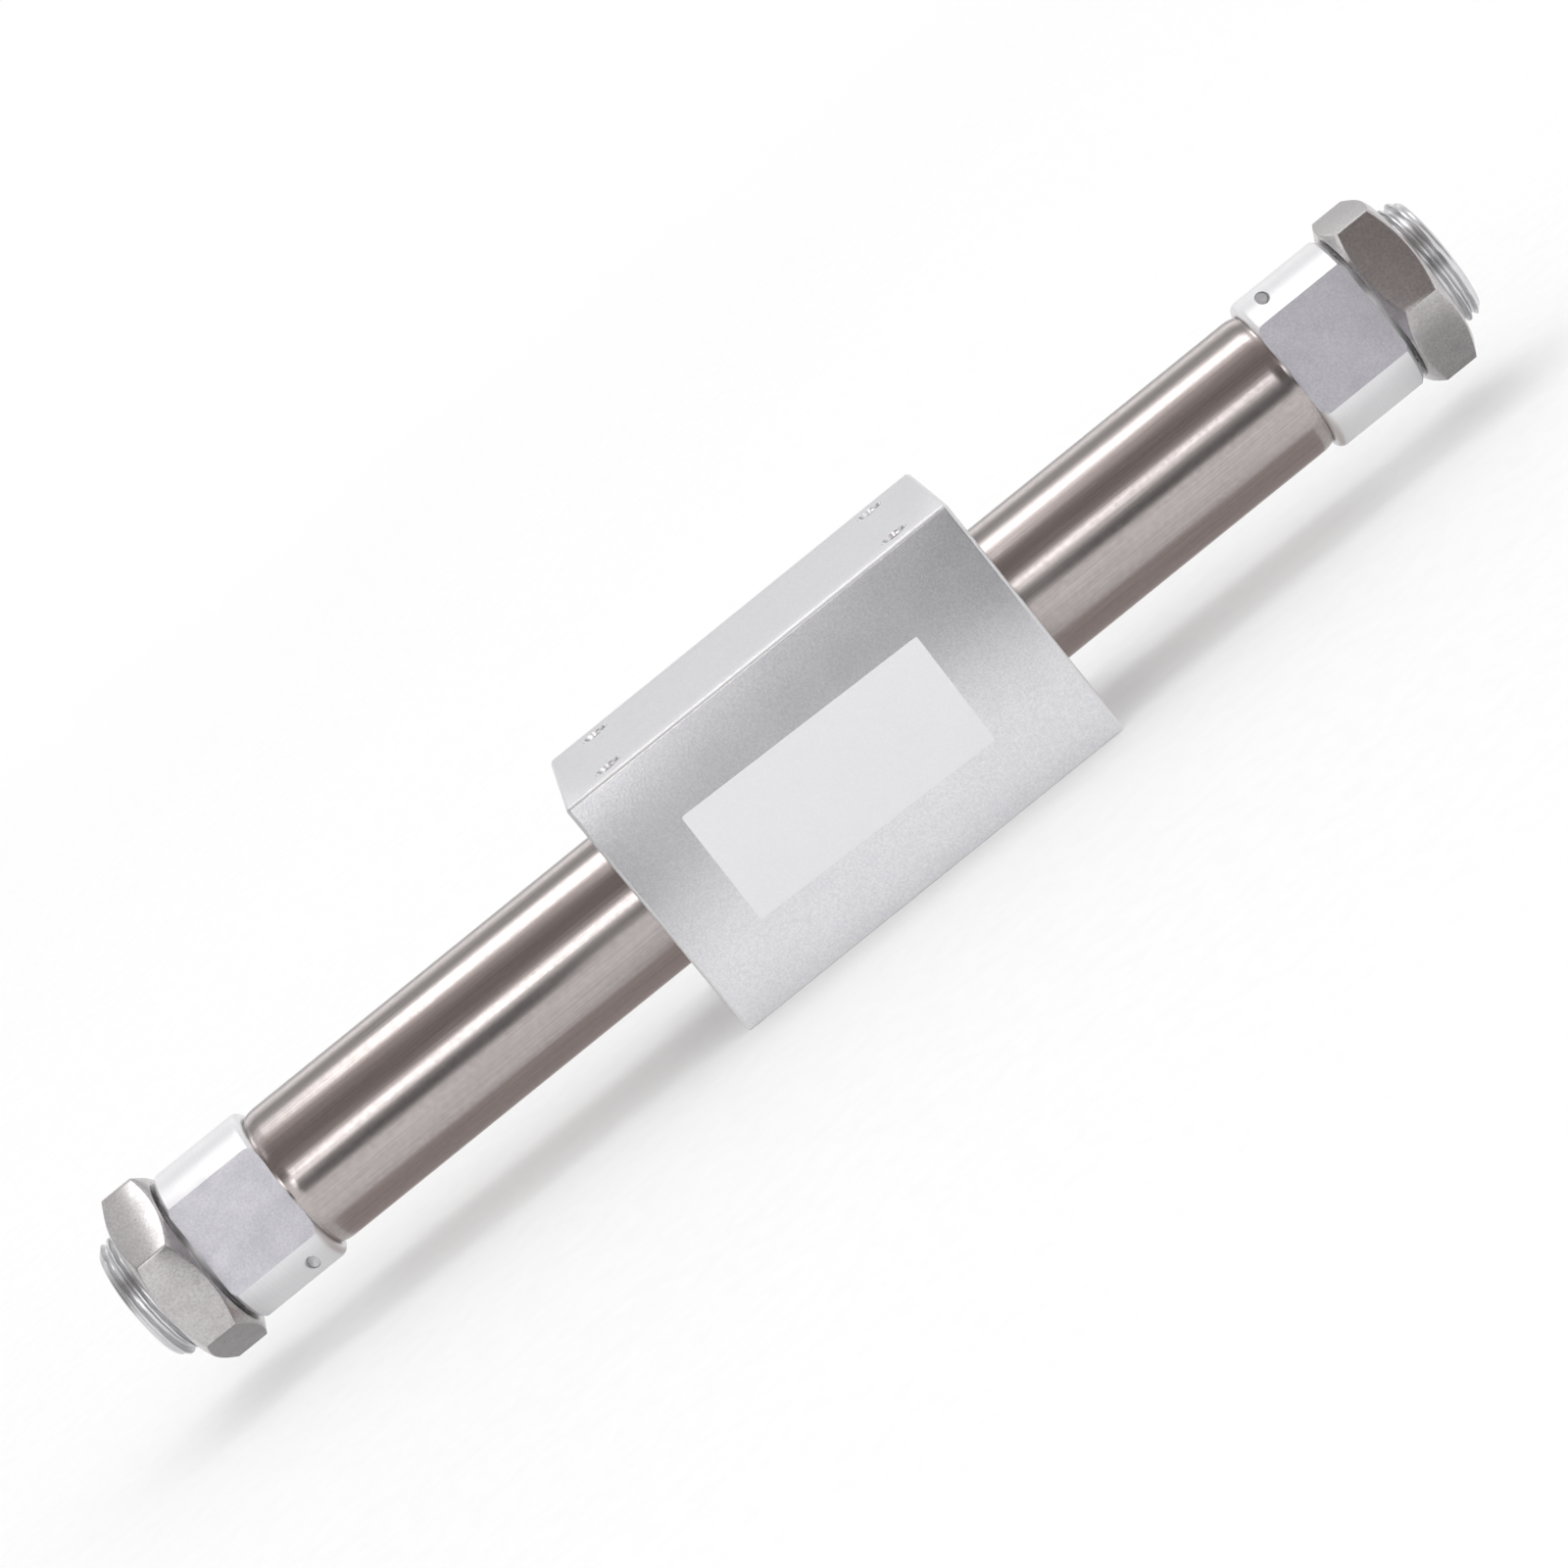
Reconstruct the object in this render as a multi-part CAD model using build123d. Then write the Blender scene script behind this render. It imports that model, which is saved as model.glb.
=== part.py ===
from build123d import *
import os
from math import cos, radians, sqrt, tan

# Magnetically coupled rodless pneumatic cylinder. Millimetres.
# +X lies along the cylinder's axis, -Y is the front face of the slider and +Z its tapped face.
# The origin is on the axis, midway between the two ends.

# Stroke and where the slider rests
stroke = 100.0
stroke_clearance = 0.3
slider_rest = 7.8

# Fits
press_clearance = 0.02
running_clearance = 0.05
magnet_clearance = 0.4
thread_clearance = 0.05

# Cylinder tube
tube_bore = 20.0
tube_wall = 1.4
tube_lead = 0.3

# Head covers
head_diameter = 25.2
head_length = 15.0
head_across_flats = 20.0
head_turn = 11.0
head_inner_round = 1.2
head_outer_chamfer = 0.5
spigot_length = 6.0
air_passage_diameter = 4.0
thread_diameter = 20.0
thread_length = 12.5
thread_chamfer = 1.0
thread_relief_width = 1.6
thread_relief_depth = 0.95

# Air port on the rear flat of each head cover
port_diameter = 8.5
port_depth = 6.5
port_chamfer = 0.5
port_drill_diameter = 3.0

# Plug pressed into a hole that is drilled from the front, square to the flats, into the round side
plug_diameter = 2.0
plug_length = 2.4
plug_recess = 0.3
plug_chamfer = 0.15
plug_offset = 4.0
plug_rim = 2.03

# Gasket between spigot and tube
gasket_groove_width = 2.4
gasket_groove_depth = 1.3
gasket_groove_offset = 1.8

# Bumper in the end of the spigot
bumper_outer_diameter = 17.0
bumper_wall = 2.3
bumper_thickness = 2.0
bumper_seat_depth = 0.8

# Mounting nuts
nut_across_flats = 26.0
nut_thickness = 8.0
nut_gap = 0.6
nut_chamfer_angle = 30.0
nut_chamfer_diameter = 25.0
nut_countersink = 0.6
nut_turn_left = 27.0
nut_turn_right = 57.5

# Magnet stack, the same length in the piston and in the slider
magnet_count = 4
magnet_length = 8.0
yoke_length = 2.4

# Piston
shaft_diameter = 6.0
shaft_chamfer = 0.4
piston_clearance = 0.3
piston_head_length = 9.5
piston_nut_across_flats = 10.0
piston_nut_thickness = 3.0
piston_nut_seat_clearance = 0.4
piston_nut_sink = 0.5
seal_groove_width = 2.2
seal_groove_depth = 2.1
seal_groove_offset = 1.6
seal_lip_depth = 0.7
wear_groove_width = 2.6
wear_groove_depth = 1.2
wear_groove_offset = 5.4
wear_ring_split = 0.6

# Slider block
block_width = 40.0
block_height = 40.0
block_bore = 32.0
block_chamfer = 0.5
bolt_spacing_x = 50.0
bolt_spacing_y = 28.0
bolt_drill_diameter = 3.3
bolt_drill_depth = 6.0
bolt_countersink_diameter = 4.4
drill_point_angle = 118.0
block_bore_chamfer = 0.5

# Ring set in each end of the slider block
end_recess = 1.5
snap_ring_thickness = 1.1
snap_ring_groove_depth = 1.0
snap_ring_clearance = 0.1
snap_ring_width = 2.2
snap_ring_gap_angle = 34.0
snap_ring_lug_radius = 1.7
snap_ring_lug_angle = 26.0
snap_ring_eye_diameter = 1.2
collar_length = 8.4
collar_chamfer = 0.5
scraper_depth = 2.6
scraper_wall = 2.6
scraper_lip_taper = 1.0
scraper_lip_height = 0.9
bearing_length = 3.8
bearing_wall = 1.6
retainer_length = 2.0
retainer_wall = 2.1

# Places worked out from the sizes above
bore_radius = tube_bore / 2
tube_radius = bore_radius + tube_wall
head_radius = head_diameter / 2
plug_radius = plug_diameter / 2
plug_height = head_radius - plug_rim
plug_mouth = sqrt(head_radius**2 - (plug_height + plug_radius) ** 2)
thread_radius = thread_diameter / 2
bumper_outer_radius = bumper_outer_diameter / 2
bumper_inner_radius = bumper_outer_radius - bumper_wall
piston_radius = bore_radius - piston_clearance
piston_nut_corner_radius = piston_nut_across_flats / 2 / cos(radians(30))
piston_nut_seat_radius = piston_nut_corner_radius + piston_nut_seat_clearance
piston_nut_seat_depth = piston_nut_thickness + piston_nut_sink
stack_length = magnet_count * magnet_length + (magnet_count + 1) * yoke_length
piston_half = stack_length / 2 + piston_head_length
bumper_face = piston_half + stroke / 2 + stroke_clearance
spigot_face = bumper_face + bumper_thickness - bumper_seat_depth
head_face = spigot_face + spigot_length
shoulder = head_face + head_length
stub_end = shoulder + thread_length
block_half = stack_length / 2 + collar_length + snap_ring_thickness + end_recess
collar_face = block_half - end_recess - snap_ring_thickness
slider_bore_radius = tube_radius + running_clearance
scraper_radius = tube_radius + scraper_wall
bearing_radius = tube_radius + bearing_wall
retainer_radius = tube_radius + retainer_wall
block_bore_radius = block_bore / 2

# Which end of a short cylinder stands at its origin
BASE_AT_ORIGIN = (Align.CENTER, Align.CENTER, Align.MIN)
TOP_AT_ORIGIN = (Align.CENTER, Align.CENTER, Align.MAX)


def turned(*points):
    """Solid of revolution about the X axis through (x, radius) points."""
    return revolve(make_face(Polyline(*points, close=True)), Axis.X)


def ring(x_start, x_end, inner_radius, outer_radius):
    """Plain ring about the X axis."""
    return turned(
        (x_start, inner_radius),
        (x_end, inner_radius),
        (x_end, outer_radius),
        (x_start, outer_radius),
    )


def rod(x_start, x_end, radius):
    """Plain round bar about the X axis."""
    return turned((x_start, 0), (x_end, 0), (x_end, radius), (x_start, radius))


def end_for_end(shape):
    """The same part turned round to face the other way, about the Y axis."""
    return Rot(0, 180, 0) * shape


def pair(name, shape):
    """A right-hand part and its twin at the left end."""
    return {f"{name}_right": shape, f"{name}_left": end_for_end(shape)}


def hexagon(x_start, x_end, across_flats):
    """Hexagonal bar about the X axis, with a corner towards +Y."""
    profile = RegularPolygon(across_flats / 2, 6, major_radius=False)
    return Pos(x_start, 0, 0) * extrude(Plane.YZ * profile, x_end - x_start)


def cylinder_tube():
    """Drawn tube that butts on both head covers, eased inside each mouth for the gasket."""
    return turned(
        (-head_face, bore_radius + tube_lead),
        (-head_face + tube_lead, bore_radius),
        (head_face - tube_lead, bore_radius),
        (head_face, bore_radius + tube_lead),
        (head_face, tube_radius),
        (-head_face, tube_radius),
    )


def head_blank():
    """Turned outline of the right head cover: spigot, round body and threaded stub."""
    spigot_radius = bore_radius - press_clearance
    groove_start = spigot_face + gasket_groove_offset
    groove_end = groove_start + gasket_groove_width
    groove_radius = spigot_radius - gasket_groove_depth
    relief_end = shoulder + thread_relief_width
    relief_radius = thread_radius - thread_relief_depth
    blank = turned(
        (spigot_face, 0),
        (spigot_face, spigot_radius),
        (groove_start, spigot_radius),
        (groove_start, groove_radius),
        (groove_end, groove_radius),
        (groove_end, spigot_radius),
        (head_face, spigot_radius),
        (head_face, head_radius),
        (shoulder - head_outer_chamfer, head_radius),
        (shoulder, head_radius - head_outer_chamfer),
        (shoulder, relief_radius),
        (relief_end, relief_radius),
        (relief_end + thread_relief_depth, thread_radius),
        (stub_end - thread_chamfer, thread_radius),
        (stub_end, thread_radius - thread_chamfer),
        (stub_end, 0),
    )
    widest_rims = blank.edges().filter_by(GeomType.CIRCLE).group_by(SortBy.RADIUS)[-1]
    return fillet(widest_rims.sort_by(Axis.X)[0], head_inner_round)


def head_flats():
    """Waste that leaves the two spanner flats on the round body, front and rear."""
    body = rod(head_face, shoulder, head_diameter)
    kept = Box(stub_end * 2, head_across_flats, head_diameter * 2)
    return body - kept


def air_port():
    """Tapping drill, its chamfer and the small drill that meets the passage on the axis."""
    x_port = head_face + head_length / 2
    flat = head_across_flats / 2
    port_radius = port_diameter / 2
    profile = Polyline(
        (0, 0),
        (port_drill_diameter / 2, 0),
        (port_drill_diameter / 2, flat - port_depth),
        (port_radius, flat - port_depth),
        (port_radius, flat - port_chamfer),
        (port_radius + port_chamfer, flat),
        (0, flat),
        close=True,
    )
    return Pos(x_port, 0, 0) * revolve(make_face(profile), Axis.Y)


def air_passage():
    """Drill along the axis from the spigot's end to below the port."""
    x_port = head_face + head_length / 2
    return rod(spigot_face, x_port + port_drill_diameter / 2, air_passage_diameter / 2)


def from_front(shape):
    """Points a shape built up the Z axis to the front, at the lowest edge of the plug hole's mouth."""
    return Pos(head_face + plug_offset, -plug_mouth, plug_height) * Rot(90, 0, 0) * shape


def plug_hole():
    """Blind hole for the plug, out to clear of the round side."""
    depth = plug_recess + plug_length
    return from_front(Pos(0, 0, -depth) * Cylinder(plug_radius, depth + head_radius, align=BASE_AT_ORIGIN))


def plug():
    """Slightly sunk plug pin with an eased outer edge."""
    pin = Cylinder(plug_radius - press_clearance, plug_length, align=TOP_AT_ORIGIN)
    pin = chamfer(pin.edges().sort_by(Axis.Z)[-1], plug_chamfer)
    return from_front(Pos(0, 0, -plug_recess) * pin)


def head_cover():
    """Right head cover, with its flats facing front and rear."""
    seat = ring(
        spigot_face,
        spigot_face + bumper_seat_depth,
        bumper_inner_radius,
        bumper_outer_radius,
    )
    return head_blank() - head_flats() - seat - air_port() - air_passage() - plug_hole()


def gasket():
    """Barrel-shaped sealing ring in the spigot's groove."""
    floor = bore_radius - press_clearance - gasket_groove_depth
    start = spigot_face + gasket_groove_offset + press_clearance
    end = start + gasket_groove_width - 2 * press_clearance
    middle = (start + end) / 2
    crown = bore_radius - floor - 2 * press_clearance
    outer = floor + press_clearance + crown
    return turned(
        (start, floor + press_clearance),
        (end, floor + press_clearance),
        (end, outer - crown / 2),
        (middle + crown / 4, outer),
        (middle - crown / 4, outer),
        (start, outer - crown / 2),
    )


def bumper():
    """Cushion ring that the piston lands on."""
    return ring(
        bumper_face,
        bumper_face + bumper_thickness,
        bumper_inner_radius + press_clearance,
        bumper_outer_radius - press_clearance,
    )


def mounting_nut(corner_angle):
    """Right mounting nut, chamfered on both faces, with a corner at an angle above the front."""
    start = shoulder + nut_gap
    end = start + nut_thickness
    bore = thread_radius + thread_clearance
    mouth = bore + nut_countersink
    reach = nut_across_flats
    rise = (reach - nut_chamfer_diameter / 2) * tan(radians(nut_chamfer_angle))
    cone = turned(
        (start, mouth),
        (start, nut_chamfer_diameter / 2),
        (start + rise, reach),
        (end - rise, reach),
        (end, nut_chamfer_diameter / 2),
        (end, mouth),
        (end - nut_countersink, bore),
        (start + nut_countersink, bore),
    )
    return Rot(-corner_angle, 0, 0) * (hexagon(start, end, nut_across_flats) & cone)


def magnet_stack(owner, inner_radius, outer_radius):
    """Yokes with the magnets between them, each a node of its own."""
    layers = {}
    pitch = yoke_length + magnet_length
    for number in range(1, magnet_count + 2):
        start = (number - 1) * pitch - stack_length / 2
        end = start + yoke_length
        layers[f"{owner}_yoke_{number}"] = ring(start, end, inner_radius, outer_radius)
        if number <= magnet_count:
            layers[f"{owner}_magnet_{number}"] = ring(end, start + pitch, inner_radius, outer_radius)
    return layers


def piston():
    """Right piston with a seal groove, a wear ring groove and a seat for its nut."""
    radius = piston_radius
    inner_face = stack_length / 2
    seal_end = piston_half - seal_groove_offset
    wear_end = piston_half - wear_groove_offset
    return turned(
        (inner_face, shaft_diameter / 2 + press_clearance),
        (inner_face, radius),
        (wear_end - wear_groove_width, radius),
        (wear_end - wear_groove_width, radius - wear_groove_depth),
        (wear_end, radius - wear_groove_depth),
        (wear_end, radius),
        (seal_end - seal_groove_width, radius),
        (seal_end - seal_groove_width, radius - seal_groove_depth),
        (seal_end, radius - seal_groove_depth),
        (seal_end, radius),
        (piston_half, radius),
        (piston_half, piston_nut_seat_radius),
        (piston_half - piston_nut_seat_depth, piston_nut_seat_radius),
        (piston_half - piston_nut_seat_depth, shaft_diameter / 2 + press_clearance),
    )


def piston_seal():
    """Lip seal that opens towards the air."""
    inner = piston_radius - seal_groove_depth + press_clearance
    outer = bore_radius - running_clearance
    start = piston_half - seal_groove_offset - seal_groove_width + press_clearance
    end = piston_half - seal_groove_offset - press_clearance
    return turned(
        (start, inner),
        (end, inner),
        (end - seal_lip_depth, (inner + outer) / 2),
        (end, outer),
        (start, outer - seal_lip_depth / 2),
    )


def split_ring(x_start, x_end, inner_radius, outer_radius):
    """Guide ring with the split that lets it be sprung into its groove."""
    gap = Pos((x_start + x_end) / 2, 0, outer_radius) * Box(x_end - x_start, wear_ring_split, outer_radius)
    return ring(x_start, x_end, inner_radius, outer_radius) - gap


def piston_wear_ring():
    """Guide ring that carries the piston in the bore."""
    end = piston_half - wear_groove_offset
    return split_ring(
        end - wear_groove_width + press_clearance,
        end - press_clearance,
        piston_radius - wear_groove_depth + press_clearance,
        bore_radius - running_clearance,
    )


def piston_nut():
    """Thin nut on the shaft's right end."""
    start = piston_half - piston_nut_seat_depth
    end = start + piston_nut_thickness
    hole = rod(start, end, shaft_diameter / 2 + press_clearance)
    return hexagon(start, end, piston_nut_across_flats) - hole


def piston_shaft():
    """Tie bolt through the magnets and both pistons."""
    end = piston_half - piston_nut_seat_depth + piston_nut_thickness
    radius = shaft_diameter / 2
    return turned(
        (-end, 0),
        (-end, radius - shaft_chamfer),
        (-end + shaft_chamfer, radius),
        (end - shaft_chamfer, radius),
        (end, radius - shaft_chamfer),
        (end, 0),
    )


def tapped_hole():
    """Tapping drill with a drill point and a countersink, pointing down from the origin."""
    radius = bolt_drill_diameter / 2
    mouth = bolt_countersink_diameter / 2
    point = radius / tan(radians(drill_point_angle / 2))
    profile = Polyline(
        (0, 0),
        (mouth, 0),
        (radius, radius - mouth),
        (radius, -bolt_drill_depth),
        (0, -bolt_drill_depth - point),
        close=True,
    )
    return revolve(make_face(Plane.XZ * profile), Axis.Z)


def slider_block():
    """Block that carries the load: bored through, grooved for snap rings and tapped on top."""
    block = Box(block_half * 2, block_width, block_height)
    block = chamfer(block.edges(), block_chamfer)
    block -= rod(-block_half, block_half, block_bore_radius)
    mouth = turned(
        (block_half, block_bore_radius),
        (block_half, block_bore_radius + block_bore_chamfer),
        (block_half - block_bore_chamfer, block_bore_radius),
    )
    groove = ring(
        collar_face,
        collar_face + snap_ring_thickness,
        block_bore_radius,
        block_bore_radius + snap_ring_groove_depth,
    )
    for cut in (mouth, groove):
        block -= cut
        block -= end_for_end(cut)
    for place in GridLocations(bolt_spacing_x, bolt_spacing_y, 2, 2):
        block -= Pos(0, 0, block_height / 2) * place * tapped_hole()
    return block


def collar():
    """Right end collar, bored in steps for the scraper, the guide ring and the felt."""
    bearing_start = collar_face - collar_length + retainer_length
    bearing_end = bearing_start + bearing_length
    outer = block_bore_radius - press_clearance
    clear = tube_radius + magnet_clearance
    return turned(
        (collar_face - collar_length, retainer_radius),
        (bearing_start, retainer_radius),
        (bearing_start, bearing_radius),
        (bearing_end, bearing_radius),
        (bearing_end, clear),
        (collar_face - scraper_depth, clear),
        (collar_face - scraper_depth, scraper_radius),
        (collar_face, scraper_radius),
        (collar_face, outer - collar_chamfer),
        (collar_face - collar_chamfer, outer),
        (collar_face - collar_length, outer),
    )


def slider_retainer():
    """Oiled felt ring that wipes the tube inside the collar."""
    start = collar_face - collar_length
    return ring(
        start,
        start + retainer_length,
        slider_bore_radius,
        retainer_radius - press_clearance,
    )


def slider_bearing():
    """Guide ring that carries the slider on the tube."""
    start = collar_face - collar_length + retainer_length
    return split_ring(
        start,
        start + bearing_length,
        slider_bore_radius,
        bearing_radius - press_clearance,
    )


def scraper():
    """Ring with a raised lip that keeps dirt off the tube."""
    start = collar_face - scraper_depth
    outer = scraper_radius - press_clearance
    lip_end = collar_face + scraper_lip_height
    return turned(
        (start, slider_bore_radius + scraper_lip_taper),
        (start, outer),
        (collar_face, outer),
        (collar_face, slider_bore_radius + scraper_lip_taper),
        (lip_end, slider_bore_radius + running_clearance),
        (lip_end, slider_bore_radius),
    )


def snap_ring():
    """Internal retaining ring with an open gap between two eyed lugs."""
    start = collar_face + press_clearance
    end = collar_face + snap_ring_thickness - press_clearance
    outer = block_bore_radius + snap_ring_groove_depth - snap_ring_clearance
    inner = outer - snap_ring_width
    thickness = end - start
    hoop = ring(start, end, inner, outer)
    half_gap = radians(snap_ring_gap_angle / 2)
    gap_half_width = outer * tan(half_gap)
    gap = make_face(Polyline((0, 0), (-gap_half_width, -outer), (gap_half_width, -outer), close=True))
    hoop -= Pos(start, 0, 0) * extrude(Plane.YZ * gap, thickness)
    lug_centre = inner + snap_ring_width / 2 - snap_ring_lug_radius / 2
    for side in (-1, 1):
        place = Rot(side * snap_ring_lug_angle, 0, 0) * Pos(start, 0, -lug_centre)
        hoop += place * extrude(Plane.YZ * Circle(snap_ring_lug_radius), thickness)
        hoop -= place * extrude(Plane.YZ * Circle(snap_ring_eye_diameter / 2), thickness)
    return hoop


def barrel_nodes():
    """Everything that stays still: tube, head covers and what is fixed in them."""
    head = head_cover()
    nodes = {"cylinder_tube": cylinder_tube()}
    nodes.update(pair("head_cover", head))
    nodes.update(pair("head_plug", plug()))
    nodes.update(pair("tube_gasket", gasket()))
    nodes.update(pair("bumper", bumper()))
    for name, shape in nodes.items():
        nodes[name] = Rot(-head_turn, 0, 0) * shape
    nodes["mounting_nut_right"] = mounting_nut(nut_turn_right)
    nodes["mounting_nut_left"] = end_for_end(mounting_nut(-nut_turn_left))
    return nodes


def piston_nodes():
    """The free piston inside the tube."""
    nodes = {"piston_shaft": piston_shaft()}
    inner = shaft_diameter / 2 + press_clearance
    nodes.update(magnet_stack("piston", inner, bore_radius - magnet_clearance))
    nodes.update(pair("piston", piston()))
    nodes.update(pair("piston_seal", piston_seal()))
    nodes.update(pair("piston_wear_ring", piston_wear_ring()))
    nodes.update(pair("piston_nut", piston_nut()))
    return nodes


def slider_nodes():
    """The block outside the tube and the rings inside it."""
    nodes = {"slider_block": slider_block()}
    inner = tube_radius + magnet_clearance
    nodes.update(magnet_stack("slider", inner, block_bore_radius - press_clearance))
    nodes.update(pair("slider_collar", collar()))
    nodes.update(pair("slider_felt", slider_retainer()))
    nodes.update(pair("slider_wear_ring", slider_bearing()))
    nodes.update(pair("slider_scraper", scraper()))
    nodes.update(pair("slider_snap_ring", snap_ring()))
    return nodes


def at_rest(nodes):
    """Moves the magnetically locked pieces to where they rest along the tube."""
    return {name: Pos(slider_rest, 0, 0) * shape for name, shape in nodes.items()}


def main():
    """Writes one STEP file for each piece."""
    os.makedirs("parts", exist_ok=True)
    nodes = {**barrel_nodes(), **at_rest(piston_nodes()), **at_rest(slider_nodes())}
    for name, shape in nodes.items():
        export_step(shape, f"parts/{name}.step")


main()
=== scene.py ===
from math import acos, cos, pi, radians, sin, sqrt, tan

import bmesh
import bpy
from bpy.props import FloatProperty, FloatVectorProperty, PointerProperty
from mathutils import Matrix, Vector


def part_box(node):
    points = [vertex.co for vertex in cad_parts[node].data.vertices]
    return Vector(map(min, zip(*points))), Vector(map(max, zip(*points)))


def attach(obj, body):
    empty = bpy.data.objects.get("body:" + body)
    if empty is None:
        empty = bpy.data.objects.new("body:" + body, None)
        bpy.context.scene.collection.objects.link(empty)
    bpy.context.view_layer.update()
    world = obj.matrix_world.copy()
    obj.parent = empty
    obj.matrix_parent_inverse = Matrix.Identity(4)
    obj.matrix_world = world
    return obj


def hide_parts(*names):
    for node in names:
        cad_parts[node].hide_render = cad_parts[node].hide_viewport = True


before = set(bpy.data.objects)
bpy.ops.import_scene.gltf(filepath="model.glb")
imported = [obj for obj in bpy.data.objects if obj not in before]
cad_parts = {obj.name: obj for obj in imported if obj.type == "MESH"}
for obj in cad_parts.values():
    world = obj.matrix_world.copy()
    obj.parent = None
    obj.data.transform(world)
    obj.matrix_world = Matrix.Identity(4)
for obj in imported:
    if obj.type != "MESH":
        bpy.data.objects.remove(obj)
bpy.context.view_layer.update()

bl_info = {
    "name": "Rodless air cylinder",
    "version": (1, 0, 0),
    "blender": (4, 5, 0),
    "location": "3D View > Sidebar > Cylinder",
    "description": "Dresses the frame of a magnetically coupled rodless air cylinder and sets it in a studio",
    "category": "Add Mesh",
}

MM = 0.001
FIT = 0.02 * MM  # fine clearance of pieces that are pushed into each other
EDGE_ROUND = 0.14 * MM  # softened edges of the nuts and the block
STUB_STEPS = 144  # points in each turn of the thread on the stub and in the nut
THREAD_RUN_IN = 0.6 * MM  # how far a thread begins inside the plain part beside it
COLLECTION = bpy.context.scene.collection

# Places that come from the frame: the axis is X, the front of the slider is -Y
TUBE_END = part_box("cylinder_tube")[1].x
SPIGOT_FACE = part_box("head_cover_right")[0].x
STUB_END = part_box("head_cover_right")[1].x
NUT_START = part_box("mounting_nut_right")[0].x
NUT_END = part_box("mounting_nut_right")[1].x
BLOCK_LOW, BLOCK_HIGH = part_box("slider_block")
SLIDER_CENTRE = (BLOCK_LOW.x + BLOCK_HIGH.x) / 2
COLLAR_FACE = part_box("slider_collar_right")[1].x - SLIDER_CENTRE
COLLAR_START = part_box("slider_collar_right")[0].x - SLIDER_CENTRE
SCRAPER_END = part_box("slider_scraper_right")[1].x - SLIDER_CENTRE
END_FOR_END = Matrix.Rotation(pi, 4, "Y")
SIDES = (("right", Matrix()), ("left", END_FOR_END))
TO_SLIDER = Matrix.Translation((SLIDER_CENTRE, 0, 0))


def length(name, description, millimetres):
    """A size that a user may change."""
    size = millimetres * MM
    return FloatProperty(name=name, description=description, default=size, unit="LENGTH", precision=5)


def angle(name, description, in_degrees):
    """An angle that a user may change."""
    return FloatProperty(name=name, description=description, default=radians(in_degrees), unit="ROTATION")


def linear(hex_colour):
    """Linear colour of an sRGB hex value."""
    channels = [int(hex_colour[i : i + 2], 16) / 255 for i in (1, 3, 5)]
    return [c / 12.92 if c <= 0.04045 else ((c + 0.055) / 1.055) ** 2.4 for c in channels]


def colour(name, description, hex_colour):
    """A colour that a user may change."""
    return FloatVectorProperty(
        name=name, description=description, default=linear(hex_colour), subtype="COLOR", min=0, max=1
    )


class TubeSizes(bpy.types.PropertyGroup):
    diameter: length("Diameter", "Outside of the ground tube", 22.8)
    bore: length("Bore", "Inside of the tube", 20.0)
    mouth: length("Mouth ease", "Chamfer inside each end", 0.3)
    roll_width: length("Roll width", "Reach of the round rolled on the tube beside each head cover", 1.8)
    roll_depth: length("Roll depth", "How far that round falls", 0.26)
    joint_width: length("Joint width", "Open joint between the tube and the head cover", 0.4)
    joint_depth: length("Joint depth", "Depth of that joint", 0.6)


class HeadSizes(bpy.types.PropertyGroup):
    diameter: length("Diameter", "Round body of the head cover", 25.2)
    across_flats: length("Across flats", "Distance between the two spanner flats", 20.0)
    body: length("Body length", "From the tube to the shoulder", 15.0)
    turn: angle("Turn", "How far the flats face upwards", 11.0)
    inner_round: length("Inner round", "Rounding of the rim beside the tube", 1.2)
    outer_chamfer: length("Outer chamfer", "Chamfer of the rim beside the nut", 0.5)
    stub_pitch: length("Stub pitch", "Pitch of the stub's thread", 1.5)
    stub_crest: length("Stub crest", "Crest radius of the stub's thread", 10.0)
    stub_root: length("Stub root", "Root radius of the stub's thread", 9.28)
    stub_chamfer: length("Stub chamfer", "Chamfer at the stub's end", 1.0)
    relief: length("Relief", "Undercut beside the shoulder", 1.6)
    port_drill: length("Port drill", "Tapping radius of the air port", 4.25)
    port_crest: length("Port crest", "Largest radius of the port's thread", 4.78)
    port_pitch: length("Port pitch", "Pitch of the port's thread", 0.907)
    port_depth: length("Port depth", "Depth of the air port", 6.5)
    plug_radius: length("Plug radius", "Hole of the small plug", 1.0)
    plug_offset: length("Plug offset", "From the tube's end to the plug", 4.0)
    plug_rim: length("Plug rim", "From the plug up to the top of the round side", 2.03)
    plug_recess: length("Plug recess", "How far the plug is sunk below its hole's lowest edge", 0.2)
    plug_length: length("Plug length", "Length of the plug", 2.5)


class NutSizes(bpy.types.PropertyGroup):
    across_flats: length("Across flats", "Spanner size of the mounting nut", 26.0)
    chamfer_diameter: length("Chamfer diameter", "Where the chamfer leaves the nut's face", 25.0)
    chamfer_angle: angle("Chamfer angle", "Slope of the chamfer", 30.0)
    countersink: length("Countersink", "Depth of the countersink of the bore", 0.6)
    turn_left: angle("Turn left", "Corner of the left nut above the front", 27.0)
    turn_right: angle("Turn right", "Corner of the right nut above the front", 57.5)


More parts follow.
